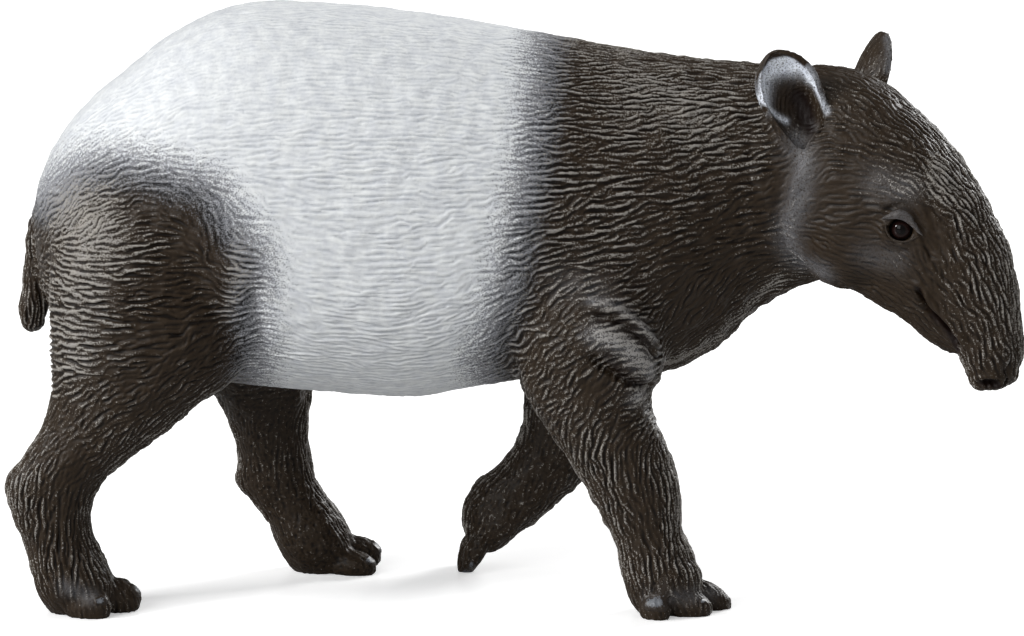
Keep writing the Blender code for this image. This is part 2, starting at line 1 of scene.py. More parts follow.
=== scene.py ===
"""The looks of a moulded, hand-painted toy figure of a Malayan tapir.

One skin of painted vinyl takes the place of the flesh solids. Its coat is cut with wavy grooves that
follow the lie of the hair, and it is painted with a pale saddle, sprayed borders and dry-brushed ridges,
with painted shade in its grooves, creases and hollows and painted highlights on its ridges, lids and
bulges.
Lengths in this file are in millimetres unless a name says otherwise, and MM turns them into metres.
Pixels are those of the photograph, 1024 wide and 636 high.
"""

import functools
import logging
import math
from collections.abc import Callable, Sequence
from dataclasses import dataclass, field
from enum import Enum

import bmesh
import bpy
import numpy as np
from mathutils import Matrix, Vector
from mathutils.bvhtree import BVHTree


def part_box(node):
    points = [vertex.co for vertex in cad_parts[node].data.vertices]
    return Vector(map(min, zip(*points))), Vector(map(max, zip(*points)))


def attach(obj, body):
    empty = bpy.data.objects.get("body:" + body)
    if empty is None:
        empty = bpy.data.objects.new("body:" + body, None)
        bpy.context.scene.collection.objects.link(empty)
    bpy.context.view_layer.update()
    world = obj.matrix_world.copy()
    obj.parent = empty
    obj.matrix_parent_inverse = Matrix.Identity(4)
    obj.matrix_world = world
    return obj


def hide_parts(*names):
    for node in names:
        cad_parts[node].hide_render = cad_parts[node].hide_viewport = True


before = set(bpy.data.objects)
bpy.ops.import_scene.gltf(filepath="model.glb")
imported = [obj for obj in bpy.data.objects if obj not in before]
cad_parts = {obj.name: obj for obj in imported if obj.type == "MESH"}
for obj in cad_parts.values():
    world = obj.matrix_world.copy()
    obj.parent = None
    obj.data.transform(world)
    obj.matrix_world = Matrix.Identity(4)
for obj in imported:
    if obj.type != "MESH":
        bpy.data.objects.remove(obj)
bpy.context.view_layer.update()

Array = np.ndarray
LOG = logging.getLogger("tapir")
MM = 0.001
IMAGE_WIDTH, IMAGE_HEIGHT = 1024, 636
SEED = 7
BODY = "root"
EYE_ZONE, FOOT_ZONE = 6.0, 10.0
VOXEL, QUICK_VOXEL = 0.165, 0.24
FLAT_ANGLE, ISLAND_MARGIN = 70.0, 0.002


class Side(Enum):
    """The animal's two sides, by the sign of Y."""

    RIGHT = -1
    LEFT = 1


class Region(Enum):
    """The parts of the skin, each with the CAD nodes that it takes the place of."""

    TORSO = ("torso",)
    TAIL = ("tail",)
    NECK = ("neck",)
    HEAD = ("head", "lower_jaw")
    SNOUT = ("snout",)
    EAR_RIGHT = ("ear_right",)
    EAR_LEFT = ("ear_left",)
    HIND_RIGHT = ("hind_leg_right", "hind_foot_right", "hind_toe_right_")
    HIND_LEFT = ("hind_leg_left", "hind_foot_left", "hind_toe_left_")
    FORE_RIGHT = ("fore_leg_right", "fore_foot_right", "fore_toe_right_")
    FORE_LEFT = ("fore_leg_left", "fore_foot_left", "fore_toe_left_")

    def nodes(self) -> list[str]:
        """The CAD nodes of this region, in order."""
        return [n for n in sorted(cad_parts) if n.startswith(self.value)]


REGIONS = list(Region)
LEGS = (Region.HIND_RIGHT, Region.HIND_LEFT, Region.FORE_RIGHT, Region.FORE_LEFT)
EARS = (Region.EAR_RIGHT, Region.EAR_LEFT)


def points_of(mesh: bpy.types.Mesh) -> Array:
    """A mesh's points.

    Args:
        mesh: The mesh to read.

    Returns:
        An array of points in millimetres, one row each.
    """
    points = np.empty(len(mesh.vertices) * 3, np.float32)
    mesh.vertices.foreach_get("co", points)
    return points.reshape(-1, 3) / MM


def set_points(mesh: bpy.types.Mesh, points: Array) -> None:
    """Moves a mesh's points.

    Args:
        mesh: The mesh to change.
        points: The new points in millimetres.
    """
    mesh.vertices.foreach_set("co", np.ascontiguousarray(points * MM, np.float32).ravel())
    mesh.update()


def normals_of(mesh: bpy.types.Mesh) -> Array:
    """A mesh's unit normals at its points.

    Args:
        mesh: The mesh to read.

    Returns:
        One unit vector for each point.
    """
    normals = np.empty(len(mesh.vertices) * 3, np.float32)
    mesh.vertex_normals.foreach_get("vector", normals)
    return normals.reshape(-1, 3)


def put_attribute(mesh: bpy.types.Mesh, name: str, values: Array) -> None:
    """Stores one number for each point of a mesh.

    Args:
        mesh: The mesh to write to.
        name: The attribute's name.
        values: One number for each point.
    """
    attribute = mesh.attributes.get(name) or mesh.attributes.new(name, "FLOAT", "POINT")
    attribute.data.foreach_set("value", np.ascontiguousarray(values, np.float32))


def unit(vectors: Array) -> Array:
    """The same directions with length one."""
    return vectors / np.maximum(np.linalg.norm(vectors, axis=-1, keepdims=True), 1e-9)


def smoothstep(low: float, high: float, values: Array) -> Array:
    """Values eased from 0 at low to 1 at high."""
    t = np.clip((values - low) / (high - low), 0.0, 1.0)
    return t * t * (3.0 - 2.0 * t)


def by_region(shares: Array, table: dict[Region, float], rest: float) -> Array:
    """A number for each point, mixed from its regions.

    Args:
        shares: The share of each region at each point.
        table: The numbers of some regions.
        rest: The number of all others.

    Returns:
        One number for each point.
    """
    return shares @ np.array([table.get(region, rest) for region in REGIONS], np.float32)


def linked(name: str, mesh: bpy.types.Mesh) -> bpy.types.Object:
    """An object of the mesh, linked to the scene."""
    made = bpy.data.objects.new(name, mesh)
    bpy.context.scene.collection.objects.link(made)
    return made


def evaluated_mesh(thing: bpy.types.Object) -> bpy.types.Mesh:
    """The mesh that an object's modifiers give.

    Args:
        thing: The object to evaluate.

    Returns:
        A new plain mesh.
    """
    graph = bpy.context.evaluated_depsgraph_get()
    return bpy.data.meshes.new_from_object(thing.evaluated_get(graph))


def apply_modifiers(thing: bpy.types.Object) -> None:
    """Replaces an object's mesh by its evaluated one."""
    mesh = evaluated_mesh(thing)
    thing.modifiers.clear()
    thing.data = mesh


@dataclass(frozen=True)
class PhotoCamera:
    """The photograph's camera, level with the animal's side and a little above it."""

    target: tuple[float, float, float] = (-0.08, 0.0, 28.95)
    distance: float = 600.0
    elevation: float = 10.0
    focal: float = 5796.0
    sensor: float = 36.0
    clip: tuple[float, float] = (0.05, 10.0)

    def place(self) -> Vector:
        """The camera's place."""
        tilt = math.radians(self.elevation)
        return Vector(self.target) + self.distance * Vector((0.0, -math.cos(tilt), math.sin(tilt)))

    def way(self, px: float, py: float) -> Vector:
        """The unit direction in which the camera sees a pixel.

        Args:
            px: Pixels from the picture's left edge.
            py: Pixels from its top edge.

        Returns:
            The direction.
        """
        tilt = math.radians(self.elevation)
        ahead = Vector((0.0, math.cos(tilt), -math.sin(tilt)))
        up = Vector((0.0, math.sin(tilt), math.cos(tilt)))
        across = Vector((1.0, 0.0, 0.0))
        right, rise = px - IMAGE_WIDTH / 2, IMAGE_HEIGHT / 2 - py
        return (ahead * self.focal + across * right + up * rise).normalized()

    def build(self) -> bpy.types.Object:
        """Adds the camera to the scene.

        Returns:
            The camera's object.
        """
        data = bpy.data.cameras.new("photo_camera")
        data.lens = self.focal / IMAGE_WIDTH * self.sensor
        data.sensor_width = self.sensor
        data.clip_start, data.clip_end = self.clip
        made = bpy.data.objects.new("photo_camera", data)
        made.location = self.place() * MM
        made.rotation_euler = (math.radians(90.0 - self.elevation), 0.0, 0.0)
        bpy.context.scene.collection.objects.link(made)
        bpy.context.scene.camera = made
        return made


@dataclass(frozen=True)
class HeadPlane:
    """The head's own middle plane, which is turned to the animal's right."""

    pivot: tuple[float, float] = (24.0, 0.0)
    turn: float = -25.0

    def across(self) -> Array:
        """The unit direction to the head's left."""
        angle = math.radians(self.turn)
        return np.array([-math.sin(angle), math.cos(angle), 0.0])

    def mirrored(self, points: Array) -> Array:
        """Points reflected in the head's middle plane.

        Args:
            points: Points in millimetres.

        Returns:
            Their reflections.
        """
        across = self.across()
        offset = (points - np.array([*self.pivot, 0.0])) @ across
        return points - 2.0 * offset[..., None] * across


class Photo:
    """Finds the places on a surface that the photograph's pixels show."""

    def __init__(self, camera: PhotoCamera, mesh: bpy.types.Mesh) -> None:
        """Reads the surface.

        Args:
            camera: The photograph's camera.
            mesh: The surface, in metres.
        """
        self.camera = camera
        self.tree = BVHTree.FromPolygons(
            [tuple(p) for p in points_of(mesh)], [tuple(f.vertices) for f in mesh.polygons]
        )

    def place(self, px: float, py: float) -> Array:
        """The first point of the surface behind a pixel, or the nearest one to its line of sight.

        Args:
            px: Pixels from the picture's left edge.
            py: Pixels from its top edge.

        Returns:
            A point in millimetres.
        """
        start, way = self.camera.place(), self.camera.way(px, py)
        hit = self.tree.ray_cast(start, way)[0]
        if hit is None:
            hit = self.tree.find_nearest(start + way * self.camera.distance)[0]
        return np.array(hit)

    def line(self, pixels: Sequence[tuple[float, float]]) -> Array:
        """The points of the surface behind a row of pixels."""
        return np.array([self.place(*p) for p in pixels])


def smooth_line(points: Array, step: float) -> Array:
    """A curve through points, as points close together.

    Args:
        points: The curve's own points, two or more.
        step: The distance between the new points.

    Returns:
        Points along a Catmull-Rom curve.
    """
    padded = np.vstack([2 * points[0] - points[1], points, 2 * points[-1] - points[-2]])
    made = []
    for a, b, c, d in zip(padded, padded[1:], padded[2:], padded[3:]):
        count = max(1, math.ceil(np.linalg.norm(c - b) / step))
        t = (np.arange(count) / count)[:, None]
        made.append(
            0.5
            * (2 * b + (c - a) * t + (2 * a - 5 * b + 4 * c - d) * t**2 + (3 * b - a - 3 * c + d) * t**3)
        )
    return np.vstack([*made, points[-1:]])


@dataclass(frozen=True)
class Stroke:
    """The way the hair lies at one pixel, as the angle in degrees that it rises to the right."""

    px: float
    py: float
    angle: float


def strokes(*rows: tuple[float, float, float]) -> tuple[Stroke, ...]:
    """The strokes of rows that hold a pixel and an angle each."""
    return tuple(Stroke(*row) for row in rows)


HAUNCH_LIE = strokes(
    (62, 182, 40), (50, 215, 50), (75, 165, 30), (100, 160, 18), (140, 160, 10), (95, 195, 20),
    (150, 192, 2), (183, 186, -30), (90, 230, 60), (80, 262, -50), (62, 285, -20), (85, 292, -18),
    (120, 292, -2), (150, 280, 12), (178, 262, 30), (200, 215, -78), (214, 250, -74), (225, 292, -84),
    (240, 262, 62), (246, 300, 80), (60, 330, -5), (100, 332, 0), (140, 325, 6), (185, 318, 18),
    (214, 335, 45), (62, 372, 12), (110, 375, 18), (160, 385, 32), (205, 378, 36), (66, 410, 34),
    (110, 420, 38), (140, 412, 38), (60, 440, 40), (90, 455, 45),
)
FLANK_LIE = strokes(
    (140, 90, 25), (200, 60, 10), (160, 135, 15), (230, 150, 5), (205, 168, -14), (262, 215, -30),
    (264, 262, -52), (285, 300, -40), (300, 345, -22), (330, 372, -8), (300, 90, 0), (300, 160, 0),
    (310, 220, -10), (330, 280, -14), (360, 330, -8), (400, 60, -4), (400, 130, 0), (400, 200, 3),
    (400, 270, 2), (410, 330, 6), (470, 60, -6), (470, 130, -2), (465, 200, 8), (460, 260, 16),
    (465, 310, 22), (480, 345, 30), (440, 365, 10), (500, 300, 28),
)
SHOULDER_LIE = strokes(
    (560, 80, -6), (550, 130, 2), (545, 180, 12), (530, 240, 22), (560, 290, 26), (610, 90, 0),
    (610, 125, 5), (610, 185, 14), (598, 237, 18), (640, 270, 18), (534, 325, 35), (536, 355, 38),
    (556, 390, 50), (590, 350, 38), (612, 364, 30), (636, 350, -60), (600, 400, 58), (634, 395, 20),
)
NECK_LIE = strokes(
    (680, 80, -2), (740, 80, -4), (672, 130, 12), (680, 165, 20), (728, 130, 12), (729, 175, 15),
    (742, 237, 20), (668, 232, 16), (700, 262, 28), (724, 300, 60), (680, 310, 50), (691, 346, 30),
    (755, 290, 30), (790, 268, 6), (770, 150, 12), (770, 215, 10),
)
HEAD_LIE = strokes(
    (798, 198, 80), (800, 240, -70), (820, 150, 60), (831, 211, 12), (830, 262, -20), (857, 250, 2),
    (844, 96, -34), (870, 127, -38), (850, 150, -20), (862, 186, 10), (895, 163, -28), (921, 142, -46),
    (946, 186, -56), (925, 190, -48), (908, 198, -14), (972, 237, -66), (952, 240, -60), (984, 275, -66),
    (972, 313, -60), (954, 295, -54), (997, 326, -68), (990, 352, -64), (975, 345, -58), (882, 252, -8),
    (908, 262, -42), (895, 300, -26), (928, 326, -36), (930, 265, -56), (866, 275, -20), (900, 110, -42),
    (872, 100, -36), (898, 135, -40), (880, 150, -30), (835, 125, -30), (850, 110, -32), (866, 165, -14),
    (905, 180, -22), (850, 80, -24),
)
HEAD_STARTS_AT = 24.0


@dataclass(frozen=True)
class LegLine:
    """The middle line of a leg from hip or shoulder to foot, as places along X and Z."""

    points: tuple[tuple[float, float], ...]

    def way(self, height: Array) -> Array:
        """The way up the leg at some heights.

        Args:
            height: Heights above the floor.

        Returns:
            Unit vectors along the leg, pointing up.
        """
        table = np.array(self.points)[::-1]
        slope = np.gradient(table[:, 0], table[:, 1])
        tilt = np.interp(height, table[:, 1], slope)
        return unit(np.stack([tilt, np.zeros_like(tilt), np.ones_like(tilt)], axis=1))


LEG_LINES = {
    Region.HIND_RIGHT: LegLine(((-36.0, 30.0), (-39.5, 22.0), (-45.0, 16.0), (-47.0, 11.0), (-45.0, 3.0))),
    Region.HIND_LEFT: LegLine(((-29.0, 30.0), (-27.5, 22.0), (-25.5, 16.0), (-25.0, 11.0), (-20.5, 3.0))),
    Region.FORE_RIGHT: LegLine(((7.5, 30.0), (7.8, 22.0), (11.5, 15.0), (14.0, 9.0), (16.0, 3.0))),
    Region.FORE_LEFT: LegLine(((7.0, 30.0), (6.0, 20.0), (4.5, 13.0), (0.5, 8.0), (-2.5, 3.0))),
}
LEG_LIE_TOP = 23.0
LEG_LIE_LOW = 12.0


class Neighbours:
    """The points round each point of a mesh, and steps over the surface in a given direction."""

    MOST = 8
    THINNEST = 1e-6
    FARTHEST = 1.2

    def __init__(self, mesh: bpy.types.Mesh, points: Array) -> None:
        """Reads the mesh's edges.

        Args:
            mesh: The mesh.
            points: Its points in millimetres.
        """
        edges = np.empty(len(mesh.edges) * 2, np.int32)
        mesh.edges.foreach_get("vertices", edges)
        edges = edges.reshape(-1, 2)
        start = np.concatenate([edges[:, 0], edges[:, 1]])
        end = np.concatenate([edges[:, 1], edges[:, 0]])
        order = np.argsort(start, kind="stable")
        start, end = start[order], end[order]
        count = np.bincount(start, minlength=len(points))
        first = np.concatenate([[0], np.cumsum(count)[:-1]])
        rank = np.arange(len(start)) - first[start]
        kept = rank < self.MOST
        self.table = np.tile(np.arange(len(points), dtype=np.int32)[:, None], (1, self.MOST))
        self.table[start[kept], rank[kept]] = end[kept]
        self.real = np.arange(self.MOST)[None, :] < count[:, None]
        self.points = points

    def average(self, values: Array) -> Array:
        """The mean of the values at the neighbours of each point."""
        if values.ndim == 1:
            return (values[self.table] * self.real).sum(axis=1) / self.real.sum(axis=1)
        total = np.zeros_like(values)
        for k in range(self.MOST):
            total += values[self.table[:, k]] * self.real[:, k, None]
        return total / self.real.sum(axis=1)[:, None]

    def smoothed(self, values: Array, passes: int) -> Array:
        """Values spread over their neighbours some times."""
        for _ in range(passes):
            values = 0.5 * values + 0.5 * self.average(values)
        return values

    def stepper(
        self, ways: Array, sides: Array, angle: float, step: float | Array
    ) -> Callable[[Array], Array]:
        """A function that reads values one step away in a direction over the surface.

        Args:
            ways: The lie of the hair at each point.
            sides: The direction square to it in the surface.
            angle: The direction to step in, from the lie, in radians.
            step: The length of a step in millimetres, one for all points or one each.

        Returns:
            A function from values at the points to values a step away.
        """
        c, s = math.cos(angle), math.sin(angle)
        xs = np.empty(self.table.shape, np.float32)
        ys = np.empty(self.table.shape, np.float32)
        for k in range(self.MOST):
            offset = self.points[self.table[:, k]] - self.points
            a, b = (offset * ways).sum(axis=1), (offset * sides).sum(axis=1)
            xs[:, k], ys[:, k] = a * c + b * s, b * c - a * s
        turn = np.arctan2(ys, xs)
        turn[~self.real] = np.nan
        rows = np.arange(len(ways))
        above = np.where(turn >= 0, turn, np.inf)
        below = np.where(turn < 0, turn, -np.inf)
        i, j = above.argmin(axis=1), below.argmax(axis=1)
        x1, y1, x2, y2 = xs[rows, i], ys[rows, i], xs[rows, j], ys[rows, j]
        spread = x1 * y2 - x2 * y1
        spread = np.where(np.abs(spread) < self.THINNEST, self.THINNEST, spread)
        w1, w2 = (np.clip(step * y / spread, 0, self.FARTHEST) for y in (y2, -y1))
        most = np.maximum(w1 + w2, 1.0)
        w1, w2 = (w1 / most).astype(np.float32), (w2 / most).astype(np.float32)
        one, two, w0 = self.table[rows, i], self.table[rows, j], 1.0 - w1 - w2
        return lambda values: w0 * values + w1 * values[one] + w2 * values[two]


@dataclass
class Coat:
    """The grooves that are cut in the figure to stand for hair."""

    spacing: float = 0.52
    saddle_spacing: float = 0.43
    saddle_edge: tuple[float, float] = (-2.5, 1.0)
    finer: dict[Region, float] = field(default_factory=lambda: {
        Region.HEAD: 0.44, Region.SNOUT: 0.46, Region.EAR_RIGHT: 0.42, Region.EAR_LEFT: 0.42,
        Region.TAIL: 0.46,
    })
    dash: int = 8
    step: float = 0.16
    sharpness: tuple[float, ...] = (1.2, 0.85)
    waver: float = 0.26
    slow_bends: tuple[int, float] = (60, 0.45)
    fast_bends: tuple[int, float] = (14, 0.6)
    faintest: float = 0.45
    fading: tuple[float, float] = (-1.3, 0.7)
    fade_passes: int = 3
    half_stroke: float = 4.0
    reach: float = 2.4
    far_share: float = 0.002
    lie_passes: int = 60
    rows_at_once: int = 20000
    ear_lie: tuple[float, float, float] = (0.3, 0.0, 1.0)
    tail_lie: tuple[float, float, float] = (0.0, 0.0, -1.0)
    depth: float = 0.18

    def lie(self, photo: Photo, points: Array, normals: Array, shares: Array) -> Array:
        """The way the hair lies at each point.

        Args:
            photo: The surface as the photograph shows it.
            points: The skin's points.
            normals: Their normals.
            shares: The share of each region at each point.

        Returns:
            Unit vectors in the surface.
        """
        centres, ways = [], []
        for stroke in (*HAUNCH_LIE, *FLANK_LIE, *SHOULDER_LIE, *NECK_LIE, *HEAD_LIE):
            angle = math.radians(stroke.angle)
            dx, dy = self.half_stroke * math.cos(angle), -self.half_stroke * math.sin(angle)
            one = photo.place(stroke.px - dx, stroke.py - dy)
            two = photo.place(stroke.px + dx, stroke.py + dy)
            centres.append((one + two) / 2)
            ways.append(two - one)
        centres, ways = np.array(centres), unit(np.array(ways))
        plane = HeadPlane()
        of_head = centres[:, 0] > HEAD_STARTS_AT
        other = np.where(of_head[:, None], plane.mirrored(centres), centres * [1, -1, 1])
        other_ways = plane.mirrored(centres + ways) - plane.mirrored(centres)
        other_ways = np.where(of_head[:, None], other_ways, ways * [1, -1, 1])
        centres, ways = np.vstack([centres, other]), np.vstack([ways, other_ways])
        lie = np.empty_like(points)
        for part in np.array_split(np.arange(len(points)), 1 + len(points) // self.rows_at_once):
            square = ((points[part, None, :] - centres[None, :, :].astype(np.float32)) ** 2).sum(axis=2)
            square /= self.reach**2
            weight = np.exp(-0.5 * square) + self.far_share / (1 + square**2)
            lie[part] = unit(weight @ ways)
        low = 1.0 - smoothstep(LEG_LIE_LOW, LEG_LIE_TOP, points[:, 2])
        for region, line in LEG_LINES.items():
            share = shares[:, REGIONS.index(region)] * low
            lie += share[:, None] * (line.way(points[:, 2]) - lie)
        tail = shares[:, REGIONS.index(Region.TAIL), None]
        ears = by_region(shares, dict.fromkeys(EARS, 1.0), 0.0)[:, None]
        lie = lie * (1 - tail - ears) + tail * np.array(self.tail_lie) + ears * np.array(self.ear_lie)
        return unit(lie - normals * (lie * normals).sum(axis=1, keepdims=True)).astype(np.float32)

    def grooves(
        self, near: Neighbours, lie: Array, normals: Array, shares: Array, inside: Array
    ) -> Array:
        """A pattern of short wavy grooves along the lie, grown from noise.

        Args:
            near: The skin's neighbours.
            lie: The lie of the hair.
            normals: The skin's normals.
            shares: The share of each region at each point.
            inside: Millimetres inside the dark coat, negative on the saddle.

        Returns:
            Values from -1 in a groove to 1 on a ridge.
        """
        rng = np.random.default_rng(SEED)
        count = len(lie)
        sides = np.cross(normals, lie)
        bend = np.zeros(count, np.float32)
        for passes, share in (self.slow_bends, self.fast_bends):
            wave = near.smoothed(rng.normal(size=count).astype(np.float32), passes)
            bend += share * wave / wave.std()
        angle = self.waver * bend
        quarter = by_region(shares, self.finer, self.spacing) / 4
        quarter -= (self.spacing - self.saddle_spacing) / 4 * (1 - smoothstep(*self.saddle_edge, inside))
        ways = lie * np.cos(angle)[:, None] + sides * np.sin(angle)[:, None]
        across = np.cross(normals, ways)
        ahead = near.stepper(ways, across, 0.0, self.step)
        back = near.stepper(ways, across, math.pi, self.step)
        left = near.stepper(ways, across, math.pi / 2, quarter)
        right = near.stepper(ways, across, -math.pi / 2, quarter)
        values = rng.normal(size=count).astype(np.float32)
        for sharpness in self.sharpness:
            total, one, two = values.copy(), values, values
            for k in range(self.dash):
                one, two = ahead(one), back(two)
                total += (1 - (k + 1) / (self.dash + 1)) * (one + two)
            beside = left(left(total)) + right(right(total))
            values = total - 0.5 * beside
            values = np.tanh(sharpness * values / values.std())
        fade, one, two = (rng.normal(size=count).astype(np.float32) for _ in range(3))
        for _ in range(self.dash):
            one, two = ahead(one) + fade, back(two) + fade
        fade = near.smoothed(one + two, self.fade_passes)
        strong = smoothstep(*self.fading, fade / fade.std())
        return values * (self.faintest + (1 - self.faintest) * strong)


def voxel() -> float:
    """The size of the skin's squares."""
    return VOXEL


def swept_ends(loops: Array) -> tuple[Array, list[tuple[int, ...]]]:
    """Skins a row of closed loops and closes both ends.

    Args:
        loops: Rows of points, each a loop with the same number of corners.

    Returns:
        The points and the faces of a closed shape.
    """
    rows, corners = loops.shape[:2]
    points = np.vstack([loops.reshape(-1, 3), loops[0].mean(axis=0), loops[-1].mean(axis=0)])
    faces = []
    last = (rows - 1) * corners
    for base in range(0, last, corners):
        for j in range(corners):
            k = (j + 1) % corners
            faces.append((base + j, base + k, base + corners + k, base + corners + j))
    for j in range(corners):
        k = (j + 1) % corners
        faces.append((k, j, rows * corners))
        faces.append((last + j, last + k, rows * corners + 1))
    return points, faces


def made_mesh(name: str, points: Array, faces: Sequence[Sequence[int]]) -> bpy.types.Mesh:
    """A smooth-shaded mesh whose faces point outwards.

    Args:
        name: The mesh's name.
        points: Its points in millimetres.
        faces: Its faces.

    Returns:
        The mesh.
    """
    work = bmesh.new()
    corners = [work.verts.new(Vector(p) * MM) for p in points]
    for face in faces:
        work.faces.new([corners[i] for i in face])
    bmesh.ops.recalc_face_normals(work, faces=work.faces)
    mesh = bpy.data.meshes.new(name)
    work.to_mesh(mesh)
    work.free()
    mesh.shade_smooth()
    return mesh


def unwrap(thing: bpy.types.Object) -> None:
    """Gives a piece a flat map of its shape, for baking."""
    for other in bpy.context.selected_objects:
        other.select_set(False)
    bpy.context.view_layer.objects.active = thing
    thing.select_set(True)
    thing.data.uv_layers.new(name="OFBake")
    bpy.ops.object.mode_set(mode="EDIT")
    bpy.ops.mesh.select_all(action="SELECT")
    bpy.ops.uv.smart_project(angle_limit=math.radians(FLAT_ANGLE), island_margin=ISLAND_MARGIN)
    bpy.ops.object.mode_set(mode="OBJECT")


@dataclass
class Skin:
    """The one skin of the figure, from the neck's flesh to the toes."""

    swell: float = 0.22
    blur: float = 1.0
    blur_rate: float = 4.0
    softness: dict[Region, float] = field(default_factory=lambda: {
        Region.HEAD: 0.3, Region.SNOUT: 0.3, Region.EAR_RIGHT: 0.07, Region.EAR_LEFT: 0.07,
        Region.TAIL: 0.4,
    })
    foot_top: float = 9.0
    foot_softness: float = 0.15
    lid_softness: float = 0.06
    brow_softness: float = 0.3
    brow_zone: tuple[float, float] = (1.5, 4.0)
    region_passes: int = 12
    levels: int = 20
    merge: float = 0.001
    most_faces: int = 90000
    tuck: float = 0.7

    def flesh(self) -> bpy.types.Object:
        """The flesh solids, swollen until they meet, as one closed skin.

        Returns:
            The skin's object.
        """
        joined = bmesh.new()
        for region in REGIONS:
            for name in region.nodes():
                work = bmesh.new()
                work.from_mesh(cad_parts[name].data)
                bmesh.ops.remove_doubles(work, verts=work.verts, dist=self.merge * MM)
                work.normal_update()
                for vert in work.verts:
                    vert.co += vert.normal * self.swell * MM
                mesh = bpy.data.meshes.new("swollen")
                work.to_mesh(mesh)
                work.free()
                joined.from_mesh(mesh)
                bpy.data.meshes.remove(mesh)
        mesh = bpy.data.meshes.new("skin")
        joined.to_mesh(mesh)
        joined.free()
        skin = linked("skin", mesh)
        remesh = skin.modifiers.new("one_skin", "REMESH")
        remesh.mode = "VOXEL"
        remesh.voxel_size = voxel() * MM
        apply_modifiers(skin)
        points, normals = points_of(skin.data), normals_of(skin.data)
        set_points(skin.data, points - normals * self.swell)
        return skin

    def find_regions(self, near: Neighbours, points: Array) -> Array:
        """The share of each region at each point, from the nearest flesh solid.

        Args:
            near: The skin's neighbours.
            points: The skin's points.

        Returns:
            One row for each point, with a share for each region.
        """
        corners, faces, owner = [], [], []
        for index, region in enumerate(REGIONS):
            for name in region.nodes():
                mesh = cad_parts[name].data
                faces += [tuple(v + len(corners) for v in f.vertices) for f in mesh.polygons]
                corners += [tuple(p) for p in points_of(mesh)]
                owner += [index] * len(mesh.polygons)
        tree = BVHTree.FromPolygons(corners, faces)
        nearest = np.array([owner[tree.find_nearest(Vector(p))[2]] for p in points])
        return near.smoothed(np.eye(len(REGIONS), dtype=np.float32)[nearest], self.region_passes)

    def soften(self, skin: bpy.types.Object, near: Neighbours, shares: Array) -> None:
        """Smooths away the solids' facets, gently where the forms are small.

        Args:
            skin: The skin's object.
            near: The skin's neighbours.
            shares: The share of each region at each point.
        """
        strength = by_region(shares, self.softness, 1.0)
        points = points_of(skin.data)
        on_foot = points[:, 2] < self.foot_top
        strength = np.where(on_foot, np.minimum(strength, self.foot_softness), strength)
        for side in Side:
            distance = np.linalg.norm(points - EyeFrame.of(side).centre, axis=1)
            away = smoothstep(*self.brow_zone, distance)
            softness = self.lid_softness + (self.brow_softness - self.lid_softness) * away
            strength = np.minimum(strength, softness)
        strength = near.smoothed(strength, self.region_passes)
        group = skin.vertex_groups.new(name="soften")
        for level in range(self.levels + 1):
            here = np.nonzero(np.rint(strength * self.levels) == level)[0]
            group.add([int(i) for i in here], level / self.levels, "REPLACE")
        rounds = []
        passes = round(self.blur_rate * (self.blur / voxel()) ** 2)
        for _ in range(2):
            smooth = skin.modifiers.new("soften", "SMOOTH")
            smooth.factor, smooth.iterations, smooth.vertex_group = 0.5, passes, group.name
            apply_modifiers(skin)
            rounds.append(points_of(skin.data))
        skin.vertex_groups.clear()
        set_points(skin.data, 2 * rounds[0] - rounds[1])

    def divide(self, skin: bpy.types.Object, smooth: Array, shares: Array) -> list[bpy.types.Object]:
        """Parts the skin by region into closed pieces that are small enough to keep whole.

        Args:
            skin: The finished skin.
            smooth: Its points before the coat was cut, for the flat map.
            shares: The share of each region at each point.

        Returns:
            The pieces.
        """
        mesh = skin.data
        faces = np.empty(len(mesh.loops), np.int32)
        mesh.loops.foreach_get("vertex_index", faces)
        faces = faces.reshape(-1, 4)
        points, normals = points_of(mesh), normals_of(mesh)
        stored = {a.name: a for a in mesh.attributes if a.data_type == "FLOAT" and a.domain == "POINT"}
        values = {}
        for name, attribute in stored.items():
            values[name] = np.empty(len(points), np.float32)
            attribute.data.foreach_get("value", values[name])
        owner = shares.argmax(axis=1)[faces].min(axis=1)
        owner[np.isin(owner, [REGIONS.index(ear) for ear in EARS])] = REGIONS.index(Region.HEAD)
        pieces = []
        for index, region in enumerate(REGIONS):
            own = faces[owner == index]
            if region in EARS:
                continue
            count = math.ceil(len(own) / self.most_faces)
            at = points[own[:, 0], 0]
            slab = np.searchsorted(np.quantile(at, np.arange(1, count) / count), at)
            for k in range(count):
                name = f"{region.value[0]}_skin" + (f"_{k + 1}" if count > 1 else "")
                piece = self.piece(name, own[slab == k], smooth, points, normals, values)
                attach(piece, BODY)
                if k == 0:
                    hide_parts(*region.nodes())
                if region is Region.HEAD:
                    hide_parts(*(n for ear in EARS for n in ear.nodes()))
                LOG.info("%s: %d faces", name, len(piece.data.polygons))
                pieces.append(piece)
        return pieces

